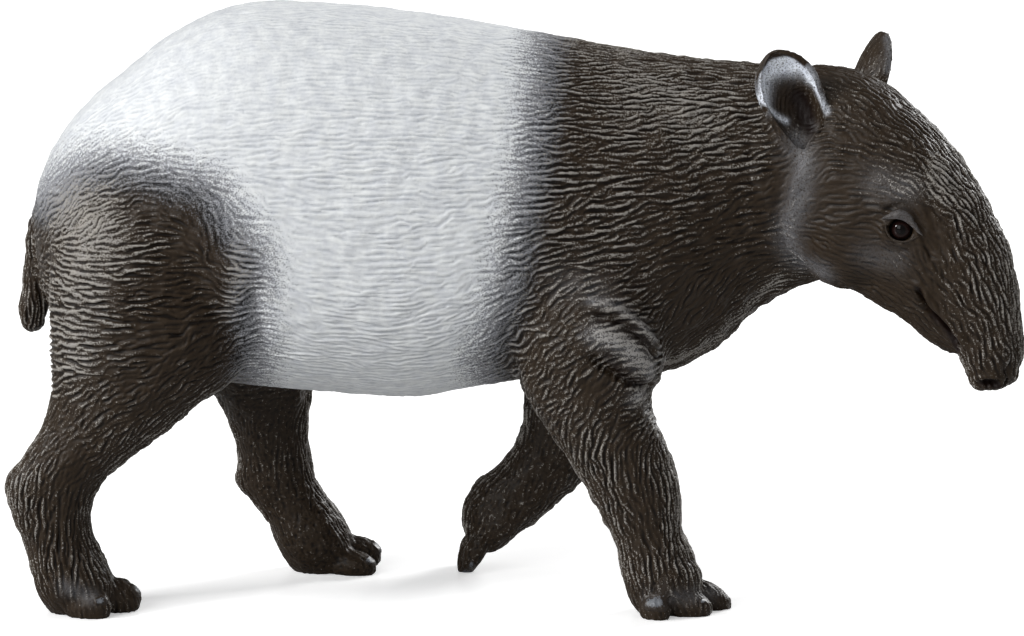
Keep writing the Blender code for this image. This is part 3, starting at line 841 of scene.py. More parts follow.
    def piece(
        self, name: str, faces: Array, smooth: Array, points: Array, normals: Array,
        values: dict[str, Array],
    ) -> bpy.types.Object:
        """One piece of the skin, with its cut edges closed out of sight.

        Args:
            name: The piece's name.
            faces: Its faces, by the whole skin's points.
            smooth: The whole skin's points for the flat map.
            points: The whole skin's finished points.
            normals: Their normals.
            values: The numbers stored at them, by name.

        Returns:
            The piece.
        """
        used, local = np.unique(faces, return_inverse=True)
        local = local.reshape(-1, 4)
        edges = np.stack([local, np.roll(local, -1, axis=1)], axis=2).reshape(-1, 2)
        low, high = edges.min(axis=1).astype(np.int64), edges.max(axis=1)
        _, first, times = np.unique(low * len(used) + high, return_index=True, return_counts=True)
        following: dict[int, list[int]] = {}
        for a, b in edges[first[times == 1]]:
            following.setdefault(int(a), []).append(int(b))
        caps, rims, origins = [], [], list(used)
        while following:
            start = next(iter(following))
            rim = [start]
            while rim[-1] in following:
                ends = following[rim[-1]]
                step = ends.pop()
                if not ends:
                    del following[rim[-1]]
                if step == start:
                    break
                rim.append(step)
            base, count = len(origins), len(rim)
            for i in range(count):
                j = (i + 1) % count
                caps += [(rim[j], rim[i], base + i, base + j), (base + j, base + i, base + count)]
            origins += [used[i] for i in rim] + [used[rim[0]]]
            rims.append((base, rim))

        def closed(places: Array) -> Array:
            """The places of the piece's points, with each cut edge turned in under the skin."""
            corners = places[origins]
            for base, rim in rims:
                inner = corners[rim] - self.tuck * normals[used[rim]]
                corners[base:base + len(rim)] = inner
                corners[base + len(rim)] = inner.mean(axis=0)
            return corners

        corners = closed(smooth)
        mesh = bpy.data.meshes.new(name)
        mesh.from_pydata(corners * MM, [], [*local.tolist(), *caps])
        made = linked(name, mesh)
        unwrap(made)
        sheet = np.empty((len(mesh.loops), 2), np.float32)
        layer = mesh.uv_layers["OFBake"]
        layer.uv.foreach_get("vector", sheet.ravel())
        sheet[local.size:] = 0.0
        layer.uv.foreach_set("vector", sheet.ravel())
        set_points(mesh, closed(points))
        for key, numbers in values.items():
            put_attribute(mesh, key, numbers[origins])
        mesh.shade_smooth()
        mesh.normals_split_custom_set_from_vertices(normals[origins])
        return made


@dataclass(frozen=True)
class Spray:
    """A soft stroke along pixels, of paint or clay, on the skin behind them and on its mirror image."""

    pixels: tuple[tuple[float, float], ...]
    radius: float
    strength: float


SPRAY_STEP, SPRAY_REACH, SPRAY_FALL = 0.35, 3.0, 0.7

REAR_BORDER = (
    (38, 186), (60, 172), (87, 158), (135, 158), (173, 170), (211, 181), (230, 206), (250, 235),
    (265, 263), (261, 311), (266, 350), (262, 372),
)
FRONT_BORDER = (
    (527, 36), (524, 90), (517, 150), (508, 200), (500, 240), (490, 290), (478, 330), (466, 364),
    (478, 388),
)
# Brushed-on pale paint on the ridges, more in some places and less in others; it also stands in as a
# painted highlight on the ridges and on lit patches such as the upper haunch, the brow and the fold ridges.
BRUSHED_HIGHLIGHTS = (
    Spray(((95, 228),), 4.5, 0.4), Spray(((70, 300), (75, 350)), 3.5, 0.25),
    Spray(((60, 200),), 3.0, 0.25), Spray(((150, 198), (180, 200)), 2.6, -0.3),
    Spray(((205, 235),), 2.6, -0.2), Spray(((170, 300),), 4.0, -0.3),
    Spray(((140, 375), (190, 350)), 3.8, -0.25), Spray(((120, 420),), 4.0, 0.05),
    Spray(((245, 250), (238, 300)), 1.3, 0.45), Spray(((252, 300), (258, 345)), 1.3, -0.5),
    Spray(((650, 95), (690, 110)), 4.0, 0.3), Spray(((720, 140), (690, 190)), 4.5, 0.1),
    Spray(((740, 240), (700, 300)), 4.5, -0.2),
    Spray(((793, 140), (800, 170), (793, 205), (790, 235), (802, 260)), 1.2, 0.3),
    Spray(((790, 150), (778, 190)), 1.4, -0.4), Spray(((880, 182), (908, 190)), 1.6, 0.25),
    Spray(((872, 254), (894, 258)), 1.1, 0.2), Spray(((840, 95), (890, 130), (935, 180)), 2.8, 0.2),
    Spray(((845, 225), (870, 290)), 3.2, -0.3), Spray(((940, 170), (985, 260), (1005, 330)), 2.2, 0.15),
    Spray(((925, 225), (935, 245)), 1.4, -0.4), Spray(((600, 333), (622, 343), (643, 364)), 0.9, 0.4),
    Spray(((600, 303), (626, 313), (650, 336)), 0.5, 0.3), Spray(((638, 396),), 0.9, 0.35),
    Spray(((665, 362), (720, 335), (780, 278)), 1.0, 0.35),
    Spray(((78, 462), (62, 520), (60, 550)), 1.5, -0.25), Spray(((24, 480), (14, 505)), 1.3, 0.15),
    Spray(((622, 425), (638, 480), (652, 545)), 1.2, -0.2), Spray(((598, 388),), 1.3, -0.3),
    Spray(((672, 470), (680, 530)), 1.0, 0.12),
)
CALM = (
    Spray(((180, 40), (300, 40), (430, 45)), 7.0, 0.6), Spray(((200, 90),), 6.0, 0.35),
    Spray(((300, 100),), 6.0, 0.25), Spray(((835, 215), (850, 245)), 3.6, 0.5),
    Spray(((95, 228),), 3.4, 0.4), Spray(((900, 228),), 1.5, 1.0),
    Spray(((870, 185), (900, 190)), 1.8, 0.3), Spray(((925, 222), (938, 240)), 1.3, 0.6),
    Spray(((924, 290), (942, 314), (958, 334), (970, 348)), 0.7, 0.7),
    Spray(((990, 378), (1004, 380)), 1.1, 0.75), Spray(((592, 330), (622, 343), (648, 370)), 1.0, 0.8),
    Spray(((596, 302), (626, 314), (654, 340)), 0.6, 0.7), Spray(((638, 396),), 0.9, 0.6),
    Spray(((797, 150), (803, 175), (794, 215), (794, 245)), 1.1, 0.55),
    Spray(((80, 110), (110, 80)), 4.0, 0.65), Spray(((78, 462), (62, 520)), 1.5, 0.4),
    Spray(((622, 425), (638, 480), (652, 545)), 1.1, 0.25), Spray(((598, 388),), 1.3, 0.4),
)
CHALK = (
    Spray(((786, 121), (776, 115), (768, 106), (760, 98)), 0.3, 0.9),
    Spray(((762, 100), (758, 90), (760, 78), (766, 68), (775, 63), (786, 62)), 0.85, 1.1),
    Spray(((764, 95), (766, 84), (772, 74), (782, 69), (792, 69)), 0.8, 0.5),
    Spray(((786, 61), (795, 61), (803, 68), (810, 78)), 0.55, 1.0),
    Spray(((808, 74), (814, 84), (818, 94), (823, 104), (829, 113)), 0.3, 1.0),
    Spray(((762, 64), (768, 58), (776, 54), (785, 53.5), (794, 56), (801, 61)), 0.42, -1.6),
    Spray(((762, 64), (758, 74), (757, 86), (759, 98), (765, 108)), 0.3, -1.1),
)
# Pale dust on the far ear's rim and the toes, and painted highlights on the shoulder and on the raised
# ridges and bulges of the cheek, brow, eye and neck folds.
DUST_AND_HIGHLIGHTS = (
    Spray(((797, 140), (803, 165), (798, 200), (788, 232), (799, 258), (822, 272)), 1.15, 0.12),
    Spray(((878, 182), (906, 190)), 1.4, 0.06), Spray(((868, 255), (894, 260)), 1.3, 0.05),
    Spray(((594, 334), (622, 346), (646, 368)), 0.95, 0.11),
    Spray(((590, 300), (620, 308), (652, 338)), 0.5, 0.08), Spray(((637, 396),), 0.9, 0.1),
    Spray(((560, 280), (600, 290)), 1.4, 0.035), Spray(((888, 38), (890, 52), (888, 70)), 0.4, 0.14),
    Spray(((66, 588), (92, 597)), 0.7, 0.09), Spray(((650, 598), (688, 596), (712, 592)), 0.7, 0.07),
)
# Painted shade: dark paint laid where shade falls, in the ear's canal, along the mouth, round the eyeball,
# in the nostril and the groove beside it, and in the neck's creases.
SHADE = (
    Spray(((800, 98), (804, 106), (808, 118), (811, 130)), 0.7, 0.95),
    Spray(((790, 92), (796, 104), (800, 118)), 1.0, 0.45),
    Spray(((917, 288), (924, 304), (934, 316)), 0.26, 1.0),
    Spray(((934, 316), (944, 328), (952, 340), (957, 350)), 0.36, 1.1), Spray(((901, 230),), 1.15, 1.3),
    Spray(((983, 383), (990, 384.5), (997, 385.5)), 0.3, 1.3),
    Spray(((1003, 386), (1008, 372)), 0.2, 0.7), Spray(((606, 354), (623, 375), (643, 385)), 0.45, 0.75),
    Spray(((600, 320), (626, 327), (650, 348)), 0.35, 0.5),
)
SWELLS = (
    Spray(((592, 336), (608, 341), (626, 352), (642, 368)), 1.15, 0.6),
    Spray(((598, 306), (616, 310), (634, 321), (650, 338)), 0.65, 0.35),
    Spray(((628, 394), (642, 396)), 0.9, 0.22), Spray(((925, 208), (940, 226), (936, 244)), 1.5, -0.32),
    Spray(((918, 284),), 0.45, 0.3), Spray(((1004, 386), (1008, 368)), 0.4, -0.45),
    Spray(((240, 245), (236, 275)), 1.3, 0.3), Spray(((884, 205), (905, 200), (920, 206)), 0.9, 0.25),
)

EAR_HOLLOW = (
    Spray(((797, 98), (803, 108), (807, 120)), 0.8, -0.35), Spray(((782, 88), (792, 104)), 1.0, -0.15),
)
EAR_OPENS = (0.25, -1.0, 0.1)
CUP_EDGE = (-0.45, 0.05)


@dataclass(frozen=True)
class Fold:
    """A fold of the skin along pixels: a groove, with a raised lip to its left as the pixels run."""

    pixels: tuple[tuple[float, float], ...]
    depth: float
    width: float
    lip: float = 0.0
    lip_width: float = 1.0
    far_shift: float = 0.0


FOLDS = (
    Fold(((664, 346), (652, 328), (636, 314), (618, 303), (598, 296), (580, 294)), 0.3, 0.4, 0.25, 0.6),
    Fold(((584, 319), (600, 316), (614, 318), (631, 328), (646, 343), (656, 360)), 0.6, 0.42),
    Fold(((584, 350), (596, 361), (610, 371), (627, 380), (643, 386), (654, 384)), 0.8, 0.42, 0.25, 0.7),
    Fold(((628, 402), (642, 403), (653, 401)), 0.22, 0.3),
    Fold(((262, 352), (258, 325), (254, 300), (250, 280)), 0.4, 1.0, 0.25, 1.4, 4.5),
    Fold(((806, 148), (788, 175), (782, 200), (783, 232), (799, 260), (822, 276)), 0.35, 0.7, 0.4, 1.1),
    Fold(
        ((916, 285), (923, 302), (932, 313), (943, 324), (951, 334), (957, 343), (961, 353)),
        1.0, 0.36, 0.5, 0.6,
    ),
    Fold(((524, 390), (514, 366), (509, 340), (513, 316)), 0.4, 0.7),
    Fold(((932, 262), (926, 246), (922, 236)), 0.18, 0.3, 0.1, 0.4),
    Fold(((882, 214), (893, 206), (905, 205), (914, 212), (922, 226), (927, 238)), 0.32, 0.3),
    Fold(((880, 247), (896, 252), (912, 248)), 0.12, 0.3, 0.08, 0.4),
    Fold(((1003, 388), (1008, 372), (1012, 356)), 0.25, 0.25),
)


@dataclass(frozen=True)
class Nostril:
    """The opening at the snout's tip, an oval pit with a raised rim."""

    pixel: tuple[float, float] = (990.5, 383.0)
    width_pixels: float = 4.0
    half_width: float = 0.9
    half_height: float = 0.4
    depth: float = 0.85
    wall: float = 1.6
    rim: float = 0.22
    rim_at: float = 1.7
    rim_width: float = 0.6


@dataclass(frozen=True)
class EyeFrame:
    """An eyeball's centre and the directions ahead along the head, up and out of the socket."""

    centre: Array
    ahead: Array
    up: Array
    facing: Array

    @classmethod
    @functools.cache
    def of(cls, side: Side) -> "EyeFrame":
        """The frame of one eye, from its CAD ball.

        Args:
            side: The side of the head.

        Returns:
            The eye's frame.
        """
        low, high = (np.array(c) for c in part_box("eye_" + side.name.lower()))
        turn = math.radians(HeadPlane.turn)
        forward = np.array([math.cos(turn), math.sin(turn), 0.0])
        outward = side.value * HeadPlane().across()
        facing = unit(0.3 * forward + outward + np.array([0.0, 0.0, 0.06]))
        up = unit(np.array([0.0, 0.0, 1.0]) - facing * facing[2])
        ahead = np.cross(up, facing) * -side.value
        return cls((low + high) / 2 / MM, np.copysign(1.0, ahead @ forward) * ahead, up, facing)


@dataclass
class Eye:
    """A glossy eyeball in its lids, the right one as the photograph shows it."""

    side: Side
    photo: Photo
    radius: float = 1.3
    opening: float = 1.2
    bare: float = 0.3
    opening_edge: tuple[float, float] = (0.92, 1.08)
    front: float = 0.1
    reach: float = 2.6
    lid: float = 0.16
    iris: float = 0.82
    dome: float = 0.04
    dome_angle: float = 0.5
    pole: float = 0.02
    rings: int = 24
    spokes: int = 40
    upper_top: tuple = ((882, 218), (889, 213), (899, 209), (909, 212), (916, 220), (920, 228), (923, 235))
    upper_edge: tuple = ((882, 219), (889, 219), (897, 219), (904, 221), (911, 226), (917, 232), (923, 236))
    upper_places: int = 40
    upper_rows: tuple[float, ...] = (0.1, 0.3, 0.5, 0.7, 0.85, 0.95, 1.0)
    upper_fullness: float = 0.35
    upper_swell: float = 0.3
    upper_lift: float = 0.12
    upper_root: float = 0.4
    upper_lid_highlight: float = 0.08
    edge_height: float = 0.28
    edge_sunk: float = 0.15
    corner: float = 0.04
    lower: tuple = ((885, 222), (886, 230), (890, 237), (896, 241), (904, 242), (911, 240), (919, 236))
    lower_height: float = 0.06
    lower_step: float = 0.12
    lower_corner: float = 0.05
    lower_half: float = 0.11
    lower_flatness: float = 1.3
    lower_spokes: int = 10
    lower_lid_highlight: float = 0.015

    def clear(self, points: Array) -> Array:
        """Lays the skin back round the eyeball.

        Args:
            points: The skin's points.

        Returns:
            The moved points.
        """
        eye = EyeFrame.of(self.side)
        points = points.copy()
        offset = points - eye.centre
        close = (offset**2).sum(axis=1) < self.reach**2
        here = np.nonzero(close & (offset @ eye.facing > self.front))[0]
        a, b, c = (offset[here] @ way for way in (eye.ahead, eye.up, eye.facing))
        flat = a**2 + b**2
        over = np.sqrt(np.maximum((self.radius + self.lid) ** 2 - flat, 0.0))
        under = np.sqrt(np.maximum(self.radius**2 - flat, 0.0)) - self.bare
        share = smoothstep(*self.opening_edge, np.sqrt(flat) / self.opening)
        lidded = np.maximum(c, over)
        new = np.minimum(c, under) * (1 - share) + lidded * share
        points[here] += (new - c)[:, None] * eye.facing
        return points

    def on_ball(self, pixels: Array, height: float) -> Array:
        """Places that pixels show of the right eyeball or the skin round it, mirrored for the left eye.

        Args:
            pixels: The pixels, one row each.
            height: The height over the eyeball, and half the height over the skin.

        Returns:
            The places.
        """
        centre = EyeFrame.of(Side.RIGHT).centre
        start = np.array(self.photo.camera.place())
        ways = np.array([self.photo.camera.way(*pixel) for pixel in pixels])
        near = start + ways * ((centre - start) * ways).sum(axis=1, keepdims=True)
        inward = (self.radius + height) ** 2 - ((near - centre) ** 2).sum(axis=1)
        shown = self.photo.line([tuple(pixel) for pixel in pixels])
        skin = ((shown - near) * ways).sum(axis=1) - 0.5 * height
        ball = np.where(inward > 0, -np.sqrt(np.maximum(inward, 0)), np.inf)
        places = near + ways * np.minimum(skin, ball)[:, None]
        return places if self.side is Side.RIGHT else HeadPlane().mirrored(places)

    def ball(self, finish: bpy.types.Material) -> bpy.types.Object:
        """Makes the eyeball, with a slightly domed iris.

        Args:
            finish: Its material.

        Returns:
            The eyeball.
        """
        eye = EyeFrame.of(self.side)
        loops, tones = [], []
        turn = np.linspace(0, 2 * math.pi, self.spokes, endpoint=False)[:, None]
        for angle in np.linspace(self.pole, math.pi - self.pole, self.rings):
            dome = self.dome * math.exp(-((angle / self.dome_angle) ** 2))
            ring = math.sin(angle) * (np.cos(turn) * eye.ahead + np.sin(turn) * eye.up)
            loops.append(eye.centre + (self.radius + dome) * (ring + math.cos(angle) * eye.facing))
            tones += [angle] * self.spokes
        points, faces = swept_ends(np.array(loops))
        name = f"eye_{self.side.name.lower()}_ball"
        mesh = made_mesh(name, points, faces)
        put_attribute(mesh, "turned", np.array([*tones, 0.0, math.pi]) / self.iris)
        mesh.materials.append(finish)
        return linked(name, mesh)

    def upper_lid(self, tree: BVHTree) -> bpy.types.Object:
        """Makes the hooded upper lid, a soft band from the brow to the ball that thins to both corners.

        Args:
            tree: The finished skin round the eyes, in millimetres.

        Returns:
            The lid.
        """
        rows = (self.upper_top, self.upper_edge)
        tops, edges = (smooth_line(np.array([(*p, 0.0) for p in row]), 0.5)[:, :2] for row in rows)
        steps = np.linspace(0, 1, self.upper_places)
        tops, edges = (row[np.rint(steps * (len(row) - 1)).astype(int)] for row in (tops, edges))
        high = self.photo.line(tops)
        high = high if self.side is Side.RIGHT else HeadPlane().mirrored(high)
        high = np.array([tree.find_nearest(Vector(place))[0] for place in high])
        facing = EyeFrame.of(self.side).facing
        inner_steps = self.corner + (1 - 2 * self.corner) * steps
        full = (np.sin(np.pi * inner_steps) ** self.upper_fullness)[:, None]
        high = high + self.upper_lift * full * facing
        low, under = self.on_ball(edges, self.edge_height), self.on_ball(edges, -self.edge_sunk)
        loops = [high - self.upper_root * facing]
        for s in self.upper_rows:
            swell = self.upper_swell * math.sin(math.pi * min(s, 1 - 2 * self.corner))
            loops.append(high + (low - high) * s + facing * full * swell)
        loops += [under, 0.5 * (under + high) - 0.5 * facing]
        points, faces = swept_ends(np.array(loops).transpose(1, 0, 2))
        return linked(f"eye_{self.side.name.lower()}_upper_lid", made_mesh("upper_lid", points, faces))

    def lower_lid(self) -> bpy.types.Object:
        """Makes the thin rim of the lower lid.

        Returns:
            The lid.
        """
        line = smooth_line(self.on_ball(np.array(self.lower), self.lower_height), self.lower_step)
        centre = EyeFrame.of(self.side).centre
        along = unit(np.gradient(line, axis=0))
        out = unit(line - centre)
        side = np.cross(along, out)
        steps = np.linspace(self.lower_corner, 1 - self.lower_corner, len(line))[:, None]
        full = self.lower_half * np.sin(np.pi * steps) ** 0.5
        loops = [
            line + full * (math.cos(turn) * out + self.lower_flatness * math.sin(turn) * side)
            for turn in np.linspace(0, 2 * math.pi, self.lower_spokes, endpoint=False)
        ]
        points, faces = swept_ends(np.array(loops).transpose(1, 0, 2))
        return linked(f"eye_{self.side.name.lower()}_lower_lid", made_mesh("lower_lid", points, faces))

    def build(self, tree: BVHTree, gloss: bpy.types.Material, coat: bpy.types.Material) -> None:
        """Makes the eyeball and both lids.

        Args:
            tree: The finished skin round the eyes, in millimetres.
            gloss: The eyeball's material.
            coat: The lids' material.
        """
        side = self.side.name.lower()
        ball = self.ball(gloss)
        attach(ball, BODY)
        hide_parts("eye_" + side)
        LOG.info("%s: %d faces", ball.name, len(ball.data.polygons))
        # The lids get pale chalk paint as a painted highlight, stronger on the upper lid where light falls,
        # and brush paint that also stands in for highlights.
        for lid, chalk in ((self.upper_lid(tree), self.upper_lid_highlight), (self.lower_lid(), self.lower_lid_highlight)):
            paint = {"inside": 20.0, "ridge": 0.6, "brush": 0.3, "chalk": chalk, "shade": 0.0}
            for name, value in paint.items():
                put_attribute(lid.data, name, np.full(len(lid.data.vertices), value))
            lid.data.materials.append(coat)
            unwrap(lid)
            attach(lid, BODY)
            LOG.info("%s: %d faces", lid.name, len(lid.data.polygons))


def outline_distance(points: Array, outline: Array) -> Array:
    """How far flat points lie inside a closed outline.

    Args:
        points: Points, two numbers each.
        outline: The outline's corners in order.

    Returns:
        Distances, negative outside.
    """
    nearest = np.full(len(points), np.inf)
    inside = np.zeros(len(points), bool)
    for start, end in zip(outline, np.roll(outline, -1, axis=0)):
        run = end - start
        t = np.clip(((points - start) @ run) / (run @ run), 0.0, 1.0)
        nearest = np.minimum(nearest, ((points - start - t[:, None] * run) ** 2).sum(axis=1))
        crosses = (start[1] > points[:, 1]) != (end[1] > points[:, 1])
        rise = end[1] - start[1]
        at = start[0] + (points[:, 1] - start[1]) * run[0] / (rise if rise else 1e-9)
        inside ^= crosses & (points[:, 0] < at)
    return np.where(inside, 1.0, -1.0) * np.sqrt(nearest)


def sprayed(photo: Photo, points: Array, sprays: Sequence[Spray]) -> Array:
    """The sum of soft strokes.

    Args:
        photo: The surface as the photograph shows it.
        points: The skin's points.
        sprays: The strokes.

    Returns:
        One number for each point.
    """
    total = np.zeros(len(points), np.float32)
    plane = HeadPlane()
    for spray in sprays:
        line = photo.line(spray.pixels)
        line = smooth_line(line, SPRAY_STEP * spray.radius) if len(line) > 1 else line
        reach = SPRAY_REACH * spray.radius
        of_head = line[:, :1] > HEAD_STARTS_AT
        for spots in (line, np.where(of_head, plane.mirrored(line), line * [1, -1, 1])):
            low, high = spots.min(axis=0) - reach, spots.max(axis=0) + reach
            here = np.nonzero(((points > low) & (points < high)).all(axis=1))[0]
            near = np.zeros(len(here), np.float32)
            for spot in spots:
                square = ((points[here] - spot.astype(np.float32)) ** 2).sum(axis=1) / spray.radius**2
                near = np.maximum(near, np.exp(-SPRAY_FALL * square))
            total[here] += spray.strength * near
    return total


def cup_sides(normals: Array, shares: Array) -> Array:
    """Where the open sides of the ears are.

    Args:
        normals: The skin's normals.
        shares: The share of each region at each point.

    Returns:
        One number for each point, 1 in an ear's cup.
    """
    plane = HeadPlane()
    cup = unit(np.array(EAR_OPENS))
    other = plane.mirrored(cup) - plane.mirrored(np.zeros(3))
    right = by_region(shares, {Region.EAR_RIGHT: 1.0}, 0.0)
    left = by_region(shares, {Region.EAR_LEFT: 1.0}, 0.0)
    return smoothstep(*CUP_EDGE, right * (normals @ cup) + left * (normals @ other))


@dataclass
class Sculptor:
    """Cuts folds and nostrils into the smooth skin, and swells its bulges."""

    photo: Photo
    folds: tuple[Fold, ...] = FOLDS
    fold_step: float = 0.12
    fold_reach: float = 3.0
    fold_ends: float = 0.18
    rows_at_once: int = 5000
    nostril: Nostril = Nostril()
    lump_depth: float = 0.1
    lump_size: float = 0.8
    lump_rate: float = 2.0
    lump_heights: tuple[float, float] = (0.5, 4.0)
    lumpy: dict[Region, float] = field(default_factory=lambda: {
        Region.TORSO: 0.3, Region.HEAD: 0.3, Region.SNOUT: 0.4, Region.EAR_RIGHT: 0.1,
        Region.EAR_LEFT: 0.1, Region.NECK: 0.8,
    })
    lumpy_rest: float = 0.5
    rib_pixel: tuple[float, float] = (806.0, 108.0)
    rib_spacing: float = 0.46
    rib_depth: float = 0.045
    rib_starts: tuple[float, float] = (0.7, 1.2)
    rib_ends: tuple[float, float] = (2.6, 3.6)

    def fold_rise(self, points: Array, normals: Array, fold: Fold, mirror: bool) -> Array:
        """How far one fold moves each point along its normal.

        Args:
            points: The skin's points.
            normals: Their normals.
            fold: The fold.
            mirror: Whether to cut its mirror image.

        Returns:
            Millimetres outwards for each point.
        """
        line = smooth_line(self.photo.line(fold.pixels), self.fold_step)
        if mirror:
            of_head = line[:, 0].mean() > HEAD_STARTS_AT
            line = HeadPlane().mirrored(line) if of_head else line * [1, -1, 1] + [fold.far_shift, 0, 0]
        reach = self.fold_reach * max(fold.width, fold.lip_width)
        low, high = line.min(axis=0) - reach, line.max(axis=0) + reach
        here = np.nonzero(((points > low) & (points < high)).all(axis=1))[0]
        rise = np.zeros(len(points), np.float32)
        if not len(here):
            return rise
        near = np.empty(len(here), np.int32)
        for part in np.array_split(np.arange(len(here)), 1 + len(here) // self.rows_at_once):
            square = ((points[here[part], None, :] - line[None]) ** 2).sum(axis=2)
            near[part] = square.argmin(axis=1)
        offset = points[here] - line[near]
        along = unit(np.gradient(line, axis=0))[near]
        beside = np.cross(normals[here], along) * (-1.0 if mirror else 1.0)
        distance = np.linalg.norm(offset, axis=1)
        signed = np.copysign(distance, (offset * beside).sum(axis=1))
        t = near / (len(line) - 1)
        taper = smoothstep(0.0, self.fold_ends, t) * smoothstep(0.0, self.fold_ends, 1 - t)
        cut = fold.depth * np.exp(-((distance / fold.width) ** 2))
        lip = fold.lip * np.exp(-(((signed - fold.lip_width) / fold.lip_width) ** 2))
        rise[here] = taper * (lip - cut)
        return rise

    def nostril_shift(self, points: Array, normals: Array, mirror: bool) -> Array:
        """How one nostril moves each point: a raised rim, and a pit pressed straight in.

        Args:
            points: The skin's points.
            normals: Their normals.
            mirror: Whether to cut its mirror image.

        Returns:
            A shift for each point.
        """
        pit, (px, py) = self.nostril, self.nostril.pixel
        tip, ahead = self.photo.place(px, py), self.photo.place(px + pit.width_pixels, py)
        plane = HeadPlane()
        centre, end = (plane.mirrored(tip), plane.mirrored(ahead)) if mirror else (tip, ahead)
        offset = points - centre
        close = (offset**2).sum(axis=1) < pit.half_height**2
        inward = -unit(normals[close].mean(axis=0))
        across = end - centre
        across = unit(across - inward * (across @ inward))
        up = np.cross(inward, across)
        a, b = offset @ across / pit.half_width, offset @ up / pit.half_height
        q = np.where(np.abs(offset @ inward) > pit.wall, np.inf, np.sqrt(a**2 + b**2))
        rim = pit.rim * np.exp(-(((q - pit.rim_at) / pit.rim_width) ** 2))
        return normals * rim[:, None] + inward * (pit.depth * np.exp(-(q**3)))[:, None]

    def lumps(self, near: Neighbours, shares: Array) -> Array:
        """Slow unevenness, as of a form modelled by hand.

        Args:
            near: The skin's neighbours.
            shares: The share of each region at each point.

        Returns:
            Millimetres outwards for each point.
        """
        rng = np.random.default_rng(SEED + 1)
        passes = round(self.lump_rate * (self.lump_size / voxel()) ** 2)
        wave = near.smoothed(rng.normal(size=len(shares)).astype(np.float32), passes)
        return self.lump_depth * by_region(shares, self.lumpy, self.lumpy_rest) * wave / wave.std()

    def ribs(self, points: Array, cups: Array) -> Array:
        """The fine ribs round the opening in each ear's cup.

        Args:
            points: The skin's points.
            cups: Where the ears' open sides are.

        Returns:
            Millimetres outwards for each point.
        """
        rise = np.zeros(len(points), np.float32)
        right = self.photo.place(*self.rib_pixel)
        for centre in (right, HeadPlane().mirrored(right)):
            distance = np.linalg.norm(points - centre, axis=1)
            where = smoothstep(*self.rib_starts, distance) * (1 - smoothstep(*self.rib_ends, distance))
            rise += where * np.cos(2 * math.pi * distance / self.rib_spacing)
        return self.rib_depth * cups * rise

    def carve(self, near: Neighbours, points: Array, normals: Array, shares: Array) -> Array:
        """Moves points along their normals for every fold, bulge and nostril.

        Args:
            near: The skin's neighbours.
            points: The skin's points.
            normals: Their normals.
            shares: The share of each region at each point.

        Returns:
            The moved points.
        """
        rise = self.lumps(near, shares) * smoothstep(*self.lump_heights, points[:, 2])
        rise += sprayed(self.photo, points, SWELLS)
        cups = cup_sides(normals, shares)
        rise += sprayed(self.photo, points, EAR_HOLLOW) * cups + self.ribs(points, cups)
        shift = np.zeros_like(points)
        for mirror in (False, True):
            for fold in self.folds:
                rise += self.fold_rise(points, normals, fold, mirror)
            shift += self.nostril_shift(points, normals, mirror)
        return points + normals * rise[:, None] + shift


